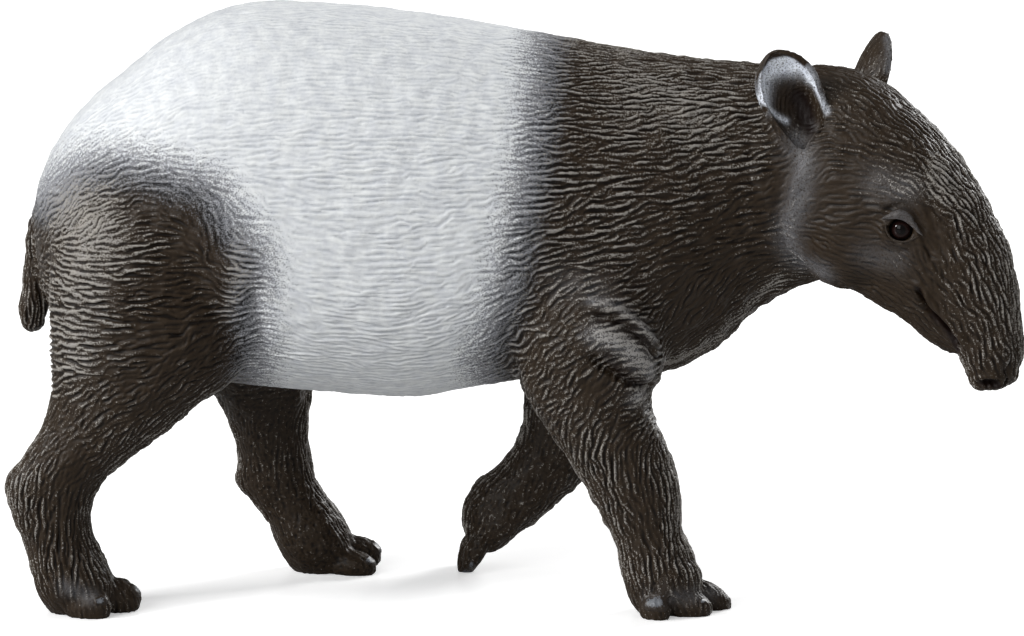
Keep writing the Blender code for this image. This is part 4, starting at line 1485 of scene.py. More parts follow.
@dataclass
class Paint:
    """Where each colour is sprayed or brushed on the coat, painted shade and painted highlights among them,
    and how deep the coat is cut.
    """

    photo: Photo
    haunch_shift: float = 4.5
    haunch_shift_ends: float = 10.0
    rear_spread: float = 0.6
    front_spread: float = -0.2
    border_step: float = 2.0
    beyond: float = 90.0
    below: float = -20.0
    leg_border: float = 25.5
    off_leg: float = 60.0
    cover: dict[Region, float] = field(default_factory=lambda: {
        Region.HEAD: 0.24, Region.SNOUT: 0.42, Region.NECK: 0.4,
        Region.HIND_RIGHT: 0.44, Region.HIND_LEFT: 0.44, Region.FORE_RIGHT: 0.5, Region.FORE_LEFT: 0.5,
        Region.EAR_RIGHT: 0.35, Region.EAR_LEFT: 0.35,
    })
    cover_rest: float = 0.48
    cut: dict[Region, float] = field(default_factory=lambda: {
        Region.SNOUT: 1.4, Region.HIND_RIGHT: 1.15, Region.HIND_LEFT: 1.15,
        Region.FORE_RIGHT: 1.15, Region.FORE_LEFT: 1.15, Region.EAR_RIGHT: 0.3, Region.EAR_LEFT: 0.3,
    })
    saddle_cut: float = 0.5
    saddle_edge: tuple[float, float] = (-1.0, 2.0)
    least_cut: float = 0.12
    least_ridge: float = 0.15
    inner_edge: tuple[float, float] = (0.35, 0.8)
    inner_top: tuple[float, float] = (21.0, 26.0)
    inner_cut: float = 0.3
    inner_bare: float = 0.15
    foot_top: tuple[float, float] = (1.5, 5.0)
    foot_cut: float = 0.4
    foot_bare: float = 0.1
    grain_depth: float = 0.042
    inner_grain_depth: float = 0.144
    most_dust_and_highlight: float = 0.6

    def borders(self, points: Array, shares: Array) -> Array:
        """How far each point lies inside the dark coat.

        Args:
            points: The skin's points.
            shares: The share of each region at each point.

        Returns:
            Millimetres from the saddle's border, negative on the saddle.
        """
        side = points[:, [0, 2]]
        far, low = self.beyond, self.below
        rear = smooth_line(self.photo.line(REAR_BORDER)[:, [0, 2]], self.border_step)
        front = smooth_line(self.photo.line(FRONT_BORDER)[:, [0, 2]], self.border_step)
        rear = np.vstack([rear, [(rear[-1, 0], low), (-far, low), (-far, rear[0, 1])]])
        front = np.vstack([[(front[0, 0], far)], front, [(front[-1, 0], low), (far, low), (far, far)]])
        shifted = side.copy()
        shifted[:, 0] -= self.haunch_shift * smoothstep(0, self.haunch_shift_ends, points[:, 1])
        behind = outline_distance(shifted, rear) + self.rear_spread
        before = outline_distance(side, front) + self.front_spread
        legs = by_region(shares, dict.fromkeys(LEGS, 1.0), 0.0)
        below = (self.leg_border - points[:, 2]) - self.off_leg * (1 - legs)
        return np.maximum(np.maximum(behind, before), below)

    def inner_sides(self, normals: Array, points: Array, shares: Array) -> Array:
        """Where a leg's inner side is, which has a grain in place of grooves.

        Args:
            normals: The skin's normals.
            points: The skin's points.
            shares: The share of each region at each point.

        Returns:
            One number for each point, 1 on an inner side.
        """
        right = by_region(shares, {Region.HIND_RIGHT: 1.0, Region.FORE_RIGHT: 1.0}, 0.0)
        left = by_region(shares, {Region.HIND_LEFT: 1.0, Region.FORE_LEFT: 1.0}, 0.0)
        facing = right * normals[:, 1] - left * normals[:, 1]
        return smoothstep(*self.inner_edge, facing) * (1 - smoothstep(*self.inner_top, points[:, 2]))

    def lay(
        self, mesh: bpy.types.Mesh, near: Neighbours, grooves: Array, shares: Array, inside: Array
    ) -> None:
        """Stores on the skin what its material and its relief read.

        Args:
            mesh: The smooth skin.
            near: The skin's neighbours.
            grooves: The pattern of grooves.
            shares: The share of each region at each point.
            inside: Millimetres inside the dark coat, negative on the saddle.
        """
        points, normals = points_of(mesh), normals_of(mesh)
        rng = np.random.default_rng(SEED + 2)
        inner = self.inner_sides(normals, points, shares)
        foot = 1 - smoothstep(*self.foot_top, points[:, 2])
        ears = by_region(shares, dict.fromkeys(EARS, 1.0), 0.0)
        # Pale chalk paint in the ears' cups, with pale dust and painted highlights on ridges and bulges.
        chalk = np.clip(sprayed(self.photo, points, CHALK), 0, 1) * ears * cup_sides(normals, shares)
        chalk += np.clip(sprayed(self.photo, points, DUST_AND_HIGHLIGHTS), 0, self.most_dust_and_highlight)
        cut = np.clip(1 - sprayed(self.photo, points, CALM), self.least_cut, 1)
        dark = smoothstep(*self.saddle_edge, inside)
        cut *= by_region(shares, self.cut, 1.0) * (self.saddle_cut + (1 - self.saddle_cut) * dark)
        cut *= (1 - (1 - self.inner_cut) * inner) * (1 - (1 - self.foot_cut) * foot)
        grain = near.smoothed(rng.normal(size=len(points)).astype(np.float32), 1)
        grain_depth = self.grain_depth + self.inner_grain_depth * inner
        pattern = grooves * cut + grain_depth * grain / grain.std()
        put_attribute(mesh, "inside", inside)
        put_attribute(mesh, "chalk", chalk)
        # Painted shade in the ear canals, mouth, eye sockets, nostrils and neck creases.
        put_attribute(mesh, "shade", np.clip(sprayed(self.photo, points, SHADE), 0, 1))
        # The brush amount: brushed paint on the ridges that also stands in as a painted highlight.
        cover = by_region(shares, self.cover, self.cover_rest) + sprayed(self.photo, points, BRUSHED_HIGHLIGHTS)
        put_attribute(mesh, "brush", cover - self.foot_bare * foot - self.inner_bare * inner)
        ridge = pattern / np.sqrt(np.maximum(cut, self.least_ridge))
        put_attribute(mesh, "ridge", 0.5 + 0.5 * np.clip(ridge, -1, 1))
        put_attribute(mesh, "relief", pattern)


def linear(red: int, green: int, blue: int) -> tuple[float, float, float, float]:
    """A screen colour of 0 to 255 as the shader's linear colour."""
    parts = (((c / 255 + 0.055) / 1.055) ** 2.4 if c > 10 else c / 255 / 12.92 for c in (red, green, blue))
    return (*parts, 1.0)


class Graph:
    """Adds nodes to a node tree and links them."""

    def __init__(self, tree: bpy.types.NodeTree) -> None:
        """Takes the tree to add to."""
        self.tree = tree

    def node(self, kind: str, inputs: dict | None = None, **settings: object) -> bpy.types.Node:
        """Adds one node.

        Args:
            kind: The node's type.
            inputs: Values or sockets by input name or number.
            settings: The node's own settings.

        Returns:
            The node.
        """
        made = self.tree.nodes.new(kind)
        for key, value in settings.items():
            setattr(made, key, value)
        for key, value in (inputs or {}).items():
            if isinstance(value, bpy.types.NodeSocket):
                self.tree.links.new(value, made.inputs[key])
            else:
                made.inputs[key].default_value = value
        return made

    def math(self, operation: str, *values: object) -> bpy.types.NodeSocket:
        """The result of one sum on values or sockets."""
        return self.node("ShaderNodeMath", dict(enumerate(values)), operation=operation).outputs[0]

    def eased(self, value: object, low: float, high: float) -> bpy.types.NodeSocket:
        """A value eased from 0 at low to 1 at high."""
        inputs = {"Value": value, "From Min": low, "From Max": high}
        return self.node("ShaderNodeMapRange", inputs, interpolation_type="SMOOTHSTEP").outputs[0]

    def mixed(self, share: object, one: object, two: object, blend: str = "MIX") -> bpy.types.NodeSocket:
        """One colour mixed with another by a share."""
        made = self.node("ShaderNodeMix", data_type="RGBA", blend_type=blend)
        for key, value in ((0, share), (6, one), (7, two)):
            if isinstance(value, bpy.types.NodeSocket):
                self.tree.links.new(value, made.inputs[key])
            else:
                made.inputs[key].default_value = value
        return made.outputs[2]

    def attribute(self, name: str) -> bpy.types.NodeSocket:
        """A number stored on the mesh."""
        return self.node("ShaderNodeAttribute", attribute_name=name).outputs["Fac"]

    def swing(self, value: object, width: float) -> bpy.types.NodeSocket:
        """A value of 0 to 1 as a swing of this width about zero."""
        return self.math("MULTIPLY", self.math("SUBTRACT", value, 0.5), width)

    def between(self, value: object, low: float, high: float) -> bpy.types.NodeSocket:
        """The number that a value of 0 to 1 picks between low and high."""
        return self.math("ADD", low, self.math("MULTIPLY", value, high - low))

    def noise(self, place: object, size: float, detail: float = 2.0) -> bpy.types.NodeSocket:
        """A noise whose spots are about size millimetres across."""
        inputs = {"Vector": place, "Scale": 1.0 / (size * MM), "Detail": detail, "Roughness": 0.6}
        return self.node("ShaderNodeTexNoise", inputs).outputs["Fac"]


def group_input(tree: bpy.types.NodeTree, name: str) -> str:
    """The identifier of a node group's input.

    Args:
        tree: The group.
        name: The input's name.

    Returns:
        The identifier that a modifier's setting takes.
    """
    inputs = (item for item in tree.interface.items_tree if item.in_out == "INPUT")
    return next(item.identifier for item in inputs if item.name == name)


def grow(thing: bpy.types.Object, tree: bpy.types.NodeTree, values: dict[str, object]) -> None:
    """Runs a Geometry Nodes tree on an object and keeps the plain mesh.

    Args:
        thing: The object.
        tree: The tree.
        values: The tree's inputs by name.
    """
    modifier = thing.modifiers.new(tree.name, "NODES")
    modifier.node_group = tree
    for name, value in values.items():
        modifier[group_input(tree, name)] = value
    apply_modifiers(thing)


def geometry_tree(name: str, inputs: dict[str, str]) -> tuple[Graph, dict]:
    """Starts a Geometry Nodes tree with a geometry in and out.

    Args:
        name: The tree's name.
        inputs: The kind of each further input, by name.

    Returns:
        The tree's graph and its input sockets by name.
    """
    tree = bpy.data.node_groups.new(name, "GeometryNodeTree")
    tree.is_modifier = True
    tree.interface.new_socket("Geometry", in_out="OUTPUT", socket_type="NodeSocketGeometry")
    for key, kind in ({"Geometry": "Geometry"} | inputs).items():
        tree.interface.new_socket(key, in_out="INPUT", socket_type="NodeSocket" + kind)
    graph = Graph(tree)
    source = graph.node("NodeGroupInput")
    return graph, {key: source.outputs[key] for key in ("Geometry", *inputs)}


def end_tree(
    graph: Graph, geometry: bpy.types.NodeSocket, finish: bpy.types.NodeSocket
) -> bpy.types.NodeTree:
    """Ends a Geometry Nodes tree: realizes instances and sets the material.

    Args:
        graph: The tree's graph.
        geometry: The geometry so far.
        finish: The material.

    Returns:
        The tree.
    """
    real = graph.node("GeometryNodeRealizeInstances", {"Geometry": geometry})
    dressed = graph.node("GeometryNodeSetMaterial", {"Geometry": real.outputs[0], "Material": finish})
    graph.node("NodeGroupOutput", {0: dressed.outputs[0]})
    return graph.tree


def named(graph: Graph, name: str, kind: str = "FLOAT") -> bpy.types.NodeSocket:
    """A value stored on a geometry, in a Geometry Nodes tree."""
    return graph.node("GeometryNodeInputNamedAttribute", {"Name": name}, data_type=kind).outputs[0]


def relief_tree() -> bpy.types.NodeTree:
    """A tree that raises and lowers a surface by its stored relief."""
    graph, given = geometry_tree("coat_relief", {"Depth": "Float", "Finish": "Material"})
    rise = graph.math("MULTIPLY", named(graph, "relief"), given["Depth"])
    normal = graph.node("GeometryNodeInputNormal").outputs[0]
    offset = graph.node("ShaderNodeVectorMath", {0: normal, "Scale": rise}, operation="SCALE")
    inputs = {"Geometry": given["Geometry"], "Offset": offset.outputs[0]}
    moved = graph.node("GeometryNodeSetPosition", inputs)
    return end_tree(graph, moved.outputs[0], given["Finish"])


def nail_tree() -> bpy.types.NodeTree:
    """A tree that puts one nail on each point, turned and sized as the point says."""
    graph, given = geometry_tree("toe_nails", {"Nail": "Object", "Scale": "Float", "Finish": "Material"})
    nail = graph.node("GeometryNodeObjectInfo", {"Object": given["Nail"]})
    own_size = named(graph, "size", "FLOAT_VECTOR")
    size = graph.node("ShaderNodeVectorMath", {0: own_size}, operation="SCALE")
    graph.tree.links.new(given["Scale"], size.inputs["Scale"])
    placed = graph.node("GeometryNodeInstanceOnPoints", {
        "Points": given["Geometry"], "Instance": nail.outputs["Geometry"], "Scale": size.outputs[0],
        "Rotation": named(graph, "turn", "FLOAT_VECTOR"),
    })
    return end_tree(graph, placed.outputs[0], given["Finish"])


@dataclass
class Nails:
    """The nails of one foot, each laid on the end of its toe."""

    limb: str
    side: Side
    dorsal: tuple[float, float, float] = (0.0, 0.0, 1.0)
    lift: float = 34.0
    from_tip: float = 1.5
    half_width: float = 62.0
    half_length: float = 42.0
    squareness: float = 3.0
    thickness: float = 0.15
    flatness: float = 6.0
    sunk: float = 0.15
    above_floor: float = 0.02
    spokes: int = 32
    rings: tuple = (0.15, 0.3, 0.45, 0.6, 0.74, 0.86, 0.94, 1.0)
    sunk_rings: tuple = (1.02, 0.5)

    def shape(self) -> bpy.types.Mesh:
        """One nail as a shield on a ball of radius one, with the height of each point stored.

        Returns:
            The nail's mesh.
        """
        turn = np.linspace(0, 2 * math.pi, self.spokes, endpoint=False)
        power = self.squareness
        corner = (np.abs(np.cos(turn)) ** power + np.abs(np.sin(turn)) ** power) ** (-1 / power)
        loops, rises, crowns = [], [], []
        rows = [(r, self.thickness * (1 - r**self.flatness)) for r in self.rings]
        rows += [(r, -self.sunk) for r in self.sunk_rings]
        for r, rise in rows:
            a = np.radians(self.half_width) * r * corner * np.cos(turn)
            b = np.radians(self.half_length) * r * corner * np.sin(turn)
            loops.append(np.stack([np.sin(a) * np.cos(b), np.sin(b), np.cos(a) * np.cos(b)], axis=1))
            rises += [rise] * self.spokes
            crowns += [1 - r] * self.spokes
        points, faces = swept_ends(np.array(loops))
        points[-2:] = (0.0, 0.0, 1.0)
        mesh = made_mesh("nail_shape", points / MM, faces)
        put_attribute(mesh, "rise", np.array([*rises, self.thickness, -self.sunk]))
        put_attribute(mesh, "crown", np.array([*crowns, 1.0, 0.0]))
        return mesh

    def build(self, skin_tree: BVHTree, tree: bpy.types.NodeTree, finish: bpy.types.Material) -> None:
        """Makes the foot's nails and lays them on its toes.

        Args:
            skin_tree: The finished skin of the feet, in millimetres.
            tree: The tree that puts nails on points.
            finish: Their material.
        """
        side = self.side.name.lower()
        low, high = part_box(f"{self.limb}_foot_{side}")
        ankle = np.array((low + high) / 2) / MM
        dorsal = unit(np.array(self.dorsal))
        toes = [n for n in sorted(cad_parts) if n.startswith(f"{self.limb}_toe_{side}")]
        centres, turns, outs = [], [], []
        for toe in toes:
            low, high = (np.array(c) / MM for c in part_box(toe))
            way = (low + high) / 2 - ankle
            way = unit(way - dorsal * (way @ dorsal))
            half = np.abs(way) @ (high - low) / 2
            centres.append((low + high) / 2 + way * (half - self.from_tip))
            lift = math.radians(self.lift)
            out = math.cos(lift) * way + math.sin(lift) * dorsal
            length = math.cos(lift) * dorsal - math.sin(lift) * way
            across = np.cross(length, out)
            turns.append(Matrix(np.stack([across, length, out], axis=1).tolist()).to_euler())
            outs.append(out)
        mesh = bpy.data.meshes.new("toe_points")
        mesh.from_pydata(np.array(centres) * MM, [], [])
        for name, rows in (("turn", turns), ("size", [(1.0, 1.0, 1.0)] * len(toes))):
            mesh.attributes.new(name, "FLOAT_VECTOR", "POINT").data.foreach_set("vector", np.ravel(rows))
        name = f"{self.limb}_nails_{side}"
        nails = linked(name, mesh)
        shape = linked("nail_shape", self.shape())
        grow(nails, tree, {"Nail": shape, "Scale": MM, "Finish": finish})
        points = points_of(nails.data)
        rise = np.empty(len(points), np.float32)
        nails.data.attributes["rise"].data.foreach_get("value", rise)
        count = len(points) // len(toes)
        for i, point in enumerate(points):
            centre = centres[i // count]
            way = unit(point - centre)
            hit = skin_tree.ray_cast(Vector(centre), Vector(way))[0]
            points[i] = (np.array(hit) if hit else point) + way * rise[i]
        points[:, 2] = np.maximum(points[:, 2], self.above_floor)
        set_points(nails.data, points)
        bpy.data.objects.remove(shape)
        nails.data.shade_smooth()
        unwrap(nails)
        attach(nails, BODY)
        LOG.info("%s: %d nails", name, len(toes))


def shader_group(
    name: str, inputs: Sequence[str], outputs: Sequence[str]
) -> tuple[Graph, dict, bpy.types.Node]:
    """Starts a group of shader nodes with plain numbers in and out.

    Args:
        name: The group's name.
        inputs: The names of its inputs.
        outputs: The names of its outputs.

    Returns:
        The group's graph, its input sockets by name and its output node.
    """
    tree = bpy.data.node_groups.new(name, "ShaderNodeTree")
    for socket in inputs:
        kind = "NodeSocketVector" if socket == "Place" else "NodeSocketFloat"
        tree.interface.new_socket(socket, in_out="INPUT", socket_type=kind)
    for socket in outputs:
        tree.interface.new_socket(socket, in_out="OUTPUT", socket_type="NodeSocketFloat")
    graph = Graph(tree)
    source, result = graph.node("NodeGroupInput"), graph.node("NodeGroupOutput")
    return graph, {n: source.outputs[n] for n in inputs}, result


COARSER = 7.0
SPECKS_PER_MM = 11.0
HIGHLIGHT_BRUSH_SWINGS = {"Grain": 1.0, "Specks": 0.4}
HIGHLIGHT_BRUSH_EDGE = (0.12, 0.46)
SPRAY_SWINGS = {"Ridge": -3.0, "Grain": 5.0, "Specks": 3.0}


def paint_grain() -> bpy.types.NodeTree:
    """The grain of sprayed paint, fine and coarse, built once."""
    if old := bpy.data.node_groups.get("paint_grain"):
        return old
    graph, given, result = shader_group("paint_grain", ("Place", "Size"), ("Fine", "Coarse", "Specks"))
    scale = graph.math("DIVIDE", 1 / MM, given["Size"])
    fine = graph.node("ShaderNodeTexNoise", {"Vector": given["Place"], "Scale": scale, "Detail": 3.0})
    wide = graph.math("DIVIDE", scale, COARSER)
    coarse = graph.node("ShaderNodeTexNoise", {"Vector": given["Place"], "Scale": wide, "Detail": 3.0})
    dots = graph.node("ShaderNodeTexWhiteNoise", noise_dimensions="3D")
    cells = {0: given["Place"], "Scale": SPECKS_PER_MM / MM}
    cell = graph.node("ShaderNodeVectorMath", cells, operation="SCALE")
    whole = graph.node("ShaderNodeVectorMath", {0: cell.outputs[0]}, operation="FLOOR")
    graph.tree.links.new(whole.outputs[0], dots.inputs["Vector"])
    graph.tree.links.new(fine.outputs["Fac"], result.inputs["Fine"])
    graph.tree.links.new(coarse.outputs["Fac"], result.inputs["Coarse"])
    graph.tree.links.new(dots.outputs["Value"], result.inputs["Specks"])
    return graph.tree


def dry_brush() -> bpy.types.NodeTree:
    """Paint dragged over the ridges, which leaves the grooves bare and catches in specks; on the coat it is
    also a painted highlight on the ridges. Built once.
    """
    if old := bpy.data.node_groups.get("dry_brush"):
        return old
    graph, given, result = shader_group("dry_brush", ("Ridge", "Cover", "Grain", "Specks"), ("Mask",))
    level = graph.math("ADD", given["Ridge"], graph.math("SUBTRACT", given["Cover"], 1.0))
    for source, width in HIGHLIGHT_BRUSH_SWINGS.items():
        level = graph.math("ADD", level, graph.swing(given[source], width))
    graph.tree.links.new(graph.eased(level, *HIGHLIGHT_BRUSH_EDGE), result.inputs["Mask"])
    return graph.tree


def sprayed_edge() -> bpy.types.NodeTree:
    """The speckled edge of a sprayed colour, which runs ahead along the grooves, built once."""
    if old := bpy.data.node_groups.get("sprayed_edge"):
        return old
    inputs = ("Inside", "Ridge", "Grain", "Specks")
    graph, given, result = shader_group("sprayed_edge", inputs, ("Distance",))
    distance = given["Inside"]
    for source, width in SPRAY_SWINGS.items():
        distance = graph.math("ADD", distance, graph.swing(given[source], width))
    graph.tree.links.new(distance, result.inputs["Distance"])
    return graph.tree


def placed_group(graph: Graph, group: bpy.types.NodeTree, inputs: dict[str, object]) -> bpy.types.Node:
    """Puts a shader group in a material.

    Args:
        graph: The material's graph.
        group: The group.
        inputs: Its values or sockets by name.

    Returns:
        The group's node.
    """
    made = graph.node("ShaderNodeGroup", node_tree=group)
    for name, value in inputs.items():
        if isinstance(value, bpy.types.NodeSocket):
            graph.tree.links.new(value, made.inputs[name])
        else:
            made.inputs[name].default_value = value
    return made


def painted(name: str, settings: dict[str, float]) -> tuple[bpy.types.Material, Graph, bpy.types.Node]:
    """Starts a material.

    Args:
        name: The material's name.
        settings: The shader's plain values by input name.

    Returns:
        The material, its graph and its shader.
    """
    material = bpy.data.materials.new(name)
    material.use_nodes = True
    shader = material.node_tree.nodes["Principled BSDF"]
    for key, value in settings.items():
        shader.inputs[key].default_value = value
    return material, Graph(material.node_tree), shader


@dataclass(frozen=True)
class Grain:
    """The grain of a painted surface, with its size and height in millimetres."""

    size: float
    height: float
    strength: float
    roughness: tuple[float, float]

    def lay(self, graph: Graph, shader: bpy.types.Node) -> bpy.types.bpy_prop_collection:
        """Gives a shader uneven gloss and small bumps.

        Args:
            graph: The material's graph.
            shader: Its shader.

        Returns:
            The outputs Fine, Coarse and Specks.
        """
        place = graph.node("ShaderNodeTexCoord").outputs["Object"]
        grain = placed_group(graph, paint_grain(), {"Place": place, "Size": self.size}).outputs
        rough = graph.between(grain["Coarse"], *self.roughness)
        graph.tree.links.new(rough, shader.inputs["Roughness"])
        inputs = {"Height": grain["Fine"], "Strength": self.strength, "Distance": self.height * MM}
        bump = graph.node("ShaderNodeBump", inputs)
        graph.tree.links.new(bump.outputs["Normal"], shader.inputs["Normal"])
        return grain


@dataclass(frozen=True)
class CoatFinish:
    """Vinyl painted dark and pale, with speckled borders, painted shade in the grooves and hollows, and
    dry-brushed ridges that also carry painted highlights.
    """

    pale: tuple = linear(214, 218, 221)
    pale_groove_shade: tuple = linear(176, 181, 187)
    mist: tuple = linear(126, 128, 133)
    ink: tuple = linear(27, 27, 29)
    dark: tuple = linear(44, 34, 23)
    dark_groove_shade: tuple = linear(17, 10, 5)
    brushed_highlight: tuple = linear(142, 139, 134)
    chalk: tuple = linear(224, 231, 242)
    painted_shade: tuple = linear(22, 12, 9)
    cool_tint: tuple = linear(236, 235, 236)
    warm_tint: tuple = linear(255, 253, 250)
    pale_ridge: tuple[float, float] = (0.0, 0.7)
    dark_ridge: tuple[float, float] = (0.05, 0.6)
    ink_ends: tuple[float, float] = (2.0, 4.8)
    mist_edge: tuple[float, float] = (-1.6, 0.8)
    dark_edge: tuple[float, float] = (0.9, 3.9)
    chalk_and_highlight_grain: tuple[float, float] = (0.25, 0.55)
    tint_grain: tuple[float, float] = (0.25, 0.75)
    grain: Grain = Grain(0.16, 0.07, 0.4, (0.36, 0.52))

    def build(self) -> bpy.types.Material:
        """Makes the material.

        Returns:
            The material.
        """
        settings = {"IOR": 1.45, "Specular IOR Level": 0.2}
        material, graph, shader = painted("painted_coat", settings)
        grain = self.grain.lay(graph, shader)
        ridge, inside = graph.attribute("ridge"), graph.attribute("inside")
        speckle = {"Ridge": ridge, "Grain": grain["Fine"], "Specks": grain["Specks"]}
        distance = placed_group(graph, sprayed_edge(), speckle | {"Inside": inside}).outputs["Distance"]
        covered = speckle | {"Cover": graph.attribute("brush")}
        brush = placed_group(graph, dry_brush(), covered).outputs["Mask"]
        # Grooves are painted darker than ridges: painted shade in the grooves, which on the dark coat is
        # also a dark wash.
        pale = graph.mixed(graph.eased(ridge, *self.pale_ridge), self.pale_groove_shade, self.pale)
        dark = graph.mixed(graph.eased(ridge, *self.dark_ridge), self.dark_groove_shade, self.dark)
        dark = graph.mixed(graph.eased(inside, *self.ink_ends), self.ink, dark)
        # Brushed paint on the ridges, which is also a painted highlight on them.
        dark = graph.mixed(brush, dark, self.brushed_highlight)
        misty = graph.mixed(graph.eased(distance, *self.mist_edge), pale, self.mist)
        coat = graph.mixed(graph.eased(distance, *self.dark_edge), misty, dark)
        # Pale chalk: the ears' pale paint, and painted highlights on ridges, bulges and lids.
        broken = graph.eased(grain["Fine"], *self.chalk_and_highlight_grain)
        chalk_and_highlight_mask = graph.math("MULTIPLY", graph.attribute("chalk"), broken)
        coat = graph.mixed(chalk_and_highlight_mask, coat, self.chalk)
        # Painted shade in hollows and creases.
        coat = graph.mixed(graph.attribute("shade"), coat, self.painted_shade)
        tint = graph.mixed(graph.eased(grain["Coarse"], *self.tint_grain), self.cool_tint, self.warm_tint)
        coat = graph.mixed(1.0, coat, tint, "MULTIPLY")
        graph.tree.links.new(coat, shader.inputs["Base Color"])
        return material


@dataclass(frozen=True)
class NailFinish:
    """Nails painted as the coat is, smoother, and paler towards the crown."""

    dark: tuple = linear(40, 32, 25)
    pale_crown: tuple = linear(98, 101, 106)
    grain: Grain = Grain(0.2, 0.06, 0.25, (0.32, 0.48))
    crown: tuple[float, float] = (0.0, 0.9)
    cover: float = 0.72

    def build(self) -> bpy.types.Material:
        """Makes the material.

        Returns:
            The material.
        """
        material, graph, shader = painted("painted_nail", {"IOR": 1.45, "Specular IOR Level": 0.35})
        grain = self.grain.lay(graph, shader)
        crown = graph.eased(graph.attribute("crown"), *self.crown)
        pale_crown = placed_group(graph, dry_brush(), {
            "Ridge": crown, "Grain": grain["Fine"], "Specks": grain["Specks"], "Cover": self.cover,
        }).outputs["Mask"]
        graph.tree.links.new(graph.mixed(pale_crown, self.dark, self.pale_crown), shader.inputs["Base Color"])
        return material


@dataclass(frozen=True)
class EyeFinish:
    """A dark brown iris round a black pupil, under clear gloss."""

    pupil: tuple = linear(6, 4, 4)
    iris: tuple = linear(36, 20, 18)
    rim: tuple = linear(12, 7, 6)
    fibre: float = 0.12
    waviness: float = 0.16
    pupil_edge: tuple[float, float] = (0.42, 0.55)
    rim_edge: tuple[float, float] = (0.85, 1.05)
    roughness: tuple[float, float] = (0.03, 0.06)

    def build(self) -> bpy.types.Material:
        """Makes the material.

        Returns:
            The material.
        """
        settings = {"IOR": 1.5, "Specular IOR Level": 0.14}
        material, graph, shader = painted("glossy_eye", settings)
        turned = graph.attribute("turned")
        place = graph.node("ShaderNodeTexCoord").outputs["Object"]
        fibre = graph.noise(place, self.fibre)
        wavy = graph.math("ADD", turned, graph.swing(fibre, self.waviness))
        iris = graph.mixed(fibre, self.rim, self.iris)
        colour = graph.mixed(graph.eased(wavy, *self.pupil_edge), self.pupil, iris)
        colour = graph.mixed(graph.eased(wavy, *self.rim_edge), colour, self.rim)
        graph.tree.links.new(colour, shader.inputs["Base Color"])
        rough = graph.between(fibre, *self.roughness)
        graph.tree.links.new(rough, shader.inputs["Roughness"])
        return material


@dataclass(frozen=True)
class Lamp:
    """A soft square light that looks at the figure, with its place and size in metres, power in watts."""

    name: str
    place: tuple[float, float, float]
    size: float
    power: float
    aim: tuple[float, float, float] = (0.0, 0.0, 0.03)

    def build(self) -> None:
        """Adds the light."""
        data = bpy.data.lights.new(self.name, "AREA")
        data.energy, data.size = self.power, self.size
        lamp = bpy.data.objects.new(self.name, data)
        lamp.location = self.place
        backwards = Vector(self.place) - Vector(self.aim)
        lamp.rotation_euler = backwards.to_track_quat("Z", "Y").to_euler()
        bpy.context.scene.collection.objects.link(lamp)


@dataclass
class Studio:
    """The white floor and the soft lights."""

    floor_size: float = 3.0
    floor_glow: float = 0.38
    floor_mottle: float = 30.0
    seen_colours: tuple = (linear(246, 246, 246), linear(250, 250, 250))
    bounce: tuple = linear(188, 188, 188)
    black: tuple = linear(0, 0, 0)
    white: tuple = linear(255, 255, 255)
    sky: float = 0.34
    lamps: tuple[Lamp, ...] = (
        Lamp("key_light", (-0.68, -0.3, 0.44), 0.2, 5.6),
        Lamp("front_light", (-0.45, -0.72, 0.42), 0.5, 3.3),
        Lamp("top_light", (0.0, -0.05, 0.8), 0.4, 0.6),
        Lamp("rim_light", (0.5, 0.5, 0.35), 0.25, 5.6),
    )

    def build(self) -> None:
        """Adds the floor, the sky and the lights."""
        half = self.floor_size / 2 / MM
        corners = np.array([(-half, -half, 0), (half, -half, 0), (half, half, 0), (-half, half, 0)])
        floor = linked("studio_floor", made_mesh("studio_floor", corners, [(0, 1, 2, 3)]))
        settings = {"Roughness": 0.3, "Emission Strength": self.floor_glow}
        material, graph, shader = painted("white_floor", settings)
        place = graph.node("ShaderNodeTexCoord").outputs["Object"]
        seen = graph.node("ShaderNodeLightPath").outputs["Is Camera Ray"]
        mottle = graph.mixed(graph.noise(place, self.floor_mottle), *self.seen_colours)
        graph.tree.links.new(graph.mixed(seen, self.bounce, mottle), shader.inputs["Base Color"])
        glow = graph.mixed(seen, self.black, self.white)
        graph.tree.links.new(glow, shader.inputs["Emission Color"])
        floor.data.materials.append(material)
        world = bpy.data.worlds.new("studio_sky")
        world.use_nodes = True
        sky = world.node_tree.nodes["Background"].inputs
        sky["Color"].default_value, sky["Strength"].default_value = self.white, self.sky
        bpy.context.scene.world = world
        for lamp in self.lamps:
            lamp.build()
        bpy.context.scene.view_settings.view_transform = "Standard"


def tree_of(mesh: bpy.types.Mesh, kept: Array) -> BVHTree:
    """A search tree of some of a mesh's faces.

    Args:
        mesh: The mesh.
        kept: For each point, whether its faces are wanted.

    Returns:
        The tree, in millimetres.
    """
    points = points_of(mesh)
    faces = np.empty(len(mesh.loops), np.int32)
    mesh.loops.foreach_get("vertex_index", faces)
    faces = faces.reshape(-1, 4)
    used, local = np.unique(faces[kept[faces[:, 0]]], return_inverse=True)
    return BVHTree.FromPolygons(points[used].tolist(), local.reshape(-1, 4).tolist())


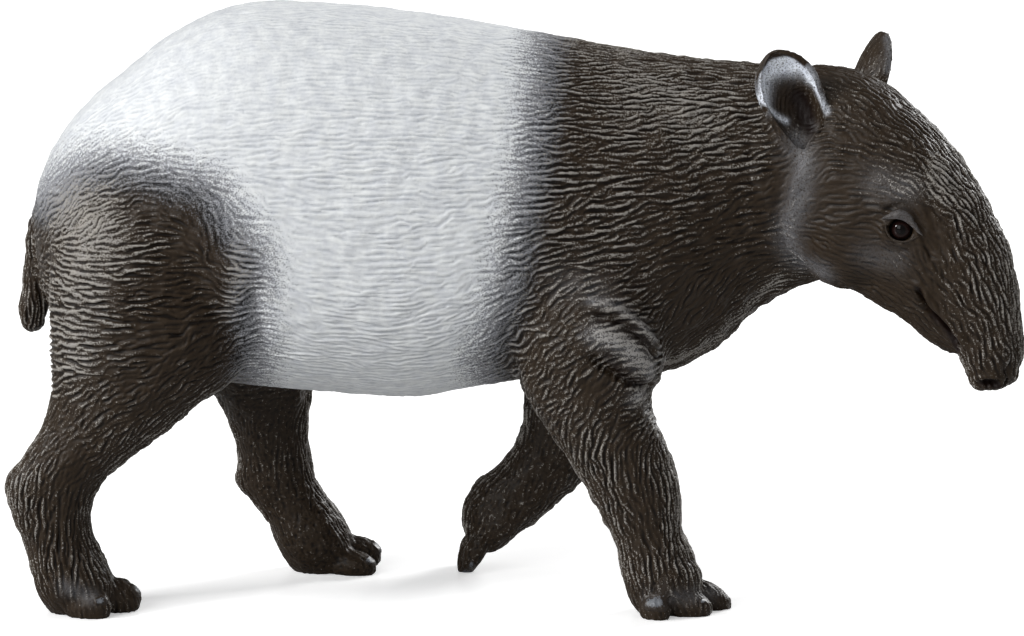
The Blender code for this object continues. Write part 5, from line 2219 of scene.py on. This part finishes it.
def main() -> None:
    """Builds the figure and its studio."""
    logging.basicConfig(level=logging.INFO, format="%(relativeCreated)d ms %(message)s")
    camera = PhotoCamera()
    camera.build()
    Studio().build()
    maker = Skin()
    skin = maker.flesh()
    LOG.info("skin joined: %d points", len(skin.data.vertices))
    near = Neighbours(skin.data, points_of(skin.data))
    shares = maker.find_regions(near, near.points)
    LOG.info("regions found")
    maker.soften(skin, near, shares)
    LOG.info("skin softened")
    points, normals = points_of(skin.data), normals_of(skin.data)
    photo = Photo(camera, skin.data)
    near = Neighbours(skin.data, points)
    coat, paint = Coat(), Paint(photo)
    inside = paint.borders(points, shares)
    lie = unit(near.smoothed(coat.lie(photo, points, normals, shares), coat.lie_passes))
    grooves = coat.grooves(near, lie, normals, shares, inside)
    LOG.info("coat patterned")
    paint.lay(skin.data, near, grooves, shares, inside)
    LOG.info("paint laid")
    set_points(skin.data, Sculptor(photo).carve(near, points, normals, shares))
    LOG.info("folds carved")
    finish = CoatFinish().build()
    grow(skin, relief_tree(), {"Depth": coat.depth * MM, "Finish": finish})
    shaped = points_of(skin.data)
    eyes = [Eye(side, photo) for side in Side]
    for eye in eyes:
        shaped = eye.clear(shaped)
    shaped[:, 2] = np.maximum(shaped[:, 2], 0.0)
    set_points(skin.data, shaped)
    LOG.info("coat cut")
    for piece in maker.divide(skin, points, shares):
        piece.data.materials.append(finish)
    gloss = EyeFinish().build()
    for eye in eyes:
        distance = np.linalg.norm(shaped - EyeFrame.of(eye.side).centre, axis=1)
        eye.build(tree_of(skin.data, distance < EYE_ZONE), gloss, finish)
    feet, tree, horn = tree_of(skin.data, shaped[:, 2] < FOOT_ZONE), nail_tree(), NailFinish().build()
    for nails in (
        Nails("hind", Side.RIGHT), Nails("hind", Side.LEFT), Nails("fore", Side.RIGHT),
        Nails("fore", Side.LEFT, dorsal=(0.85, 0.0, -0.5)),
    ):
        nails.build(feet, tree, horn)
    bpy.data.objects.remove(skin)


if __name__ == "__main__":
    main()
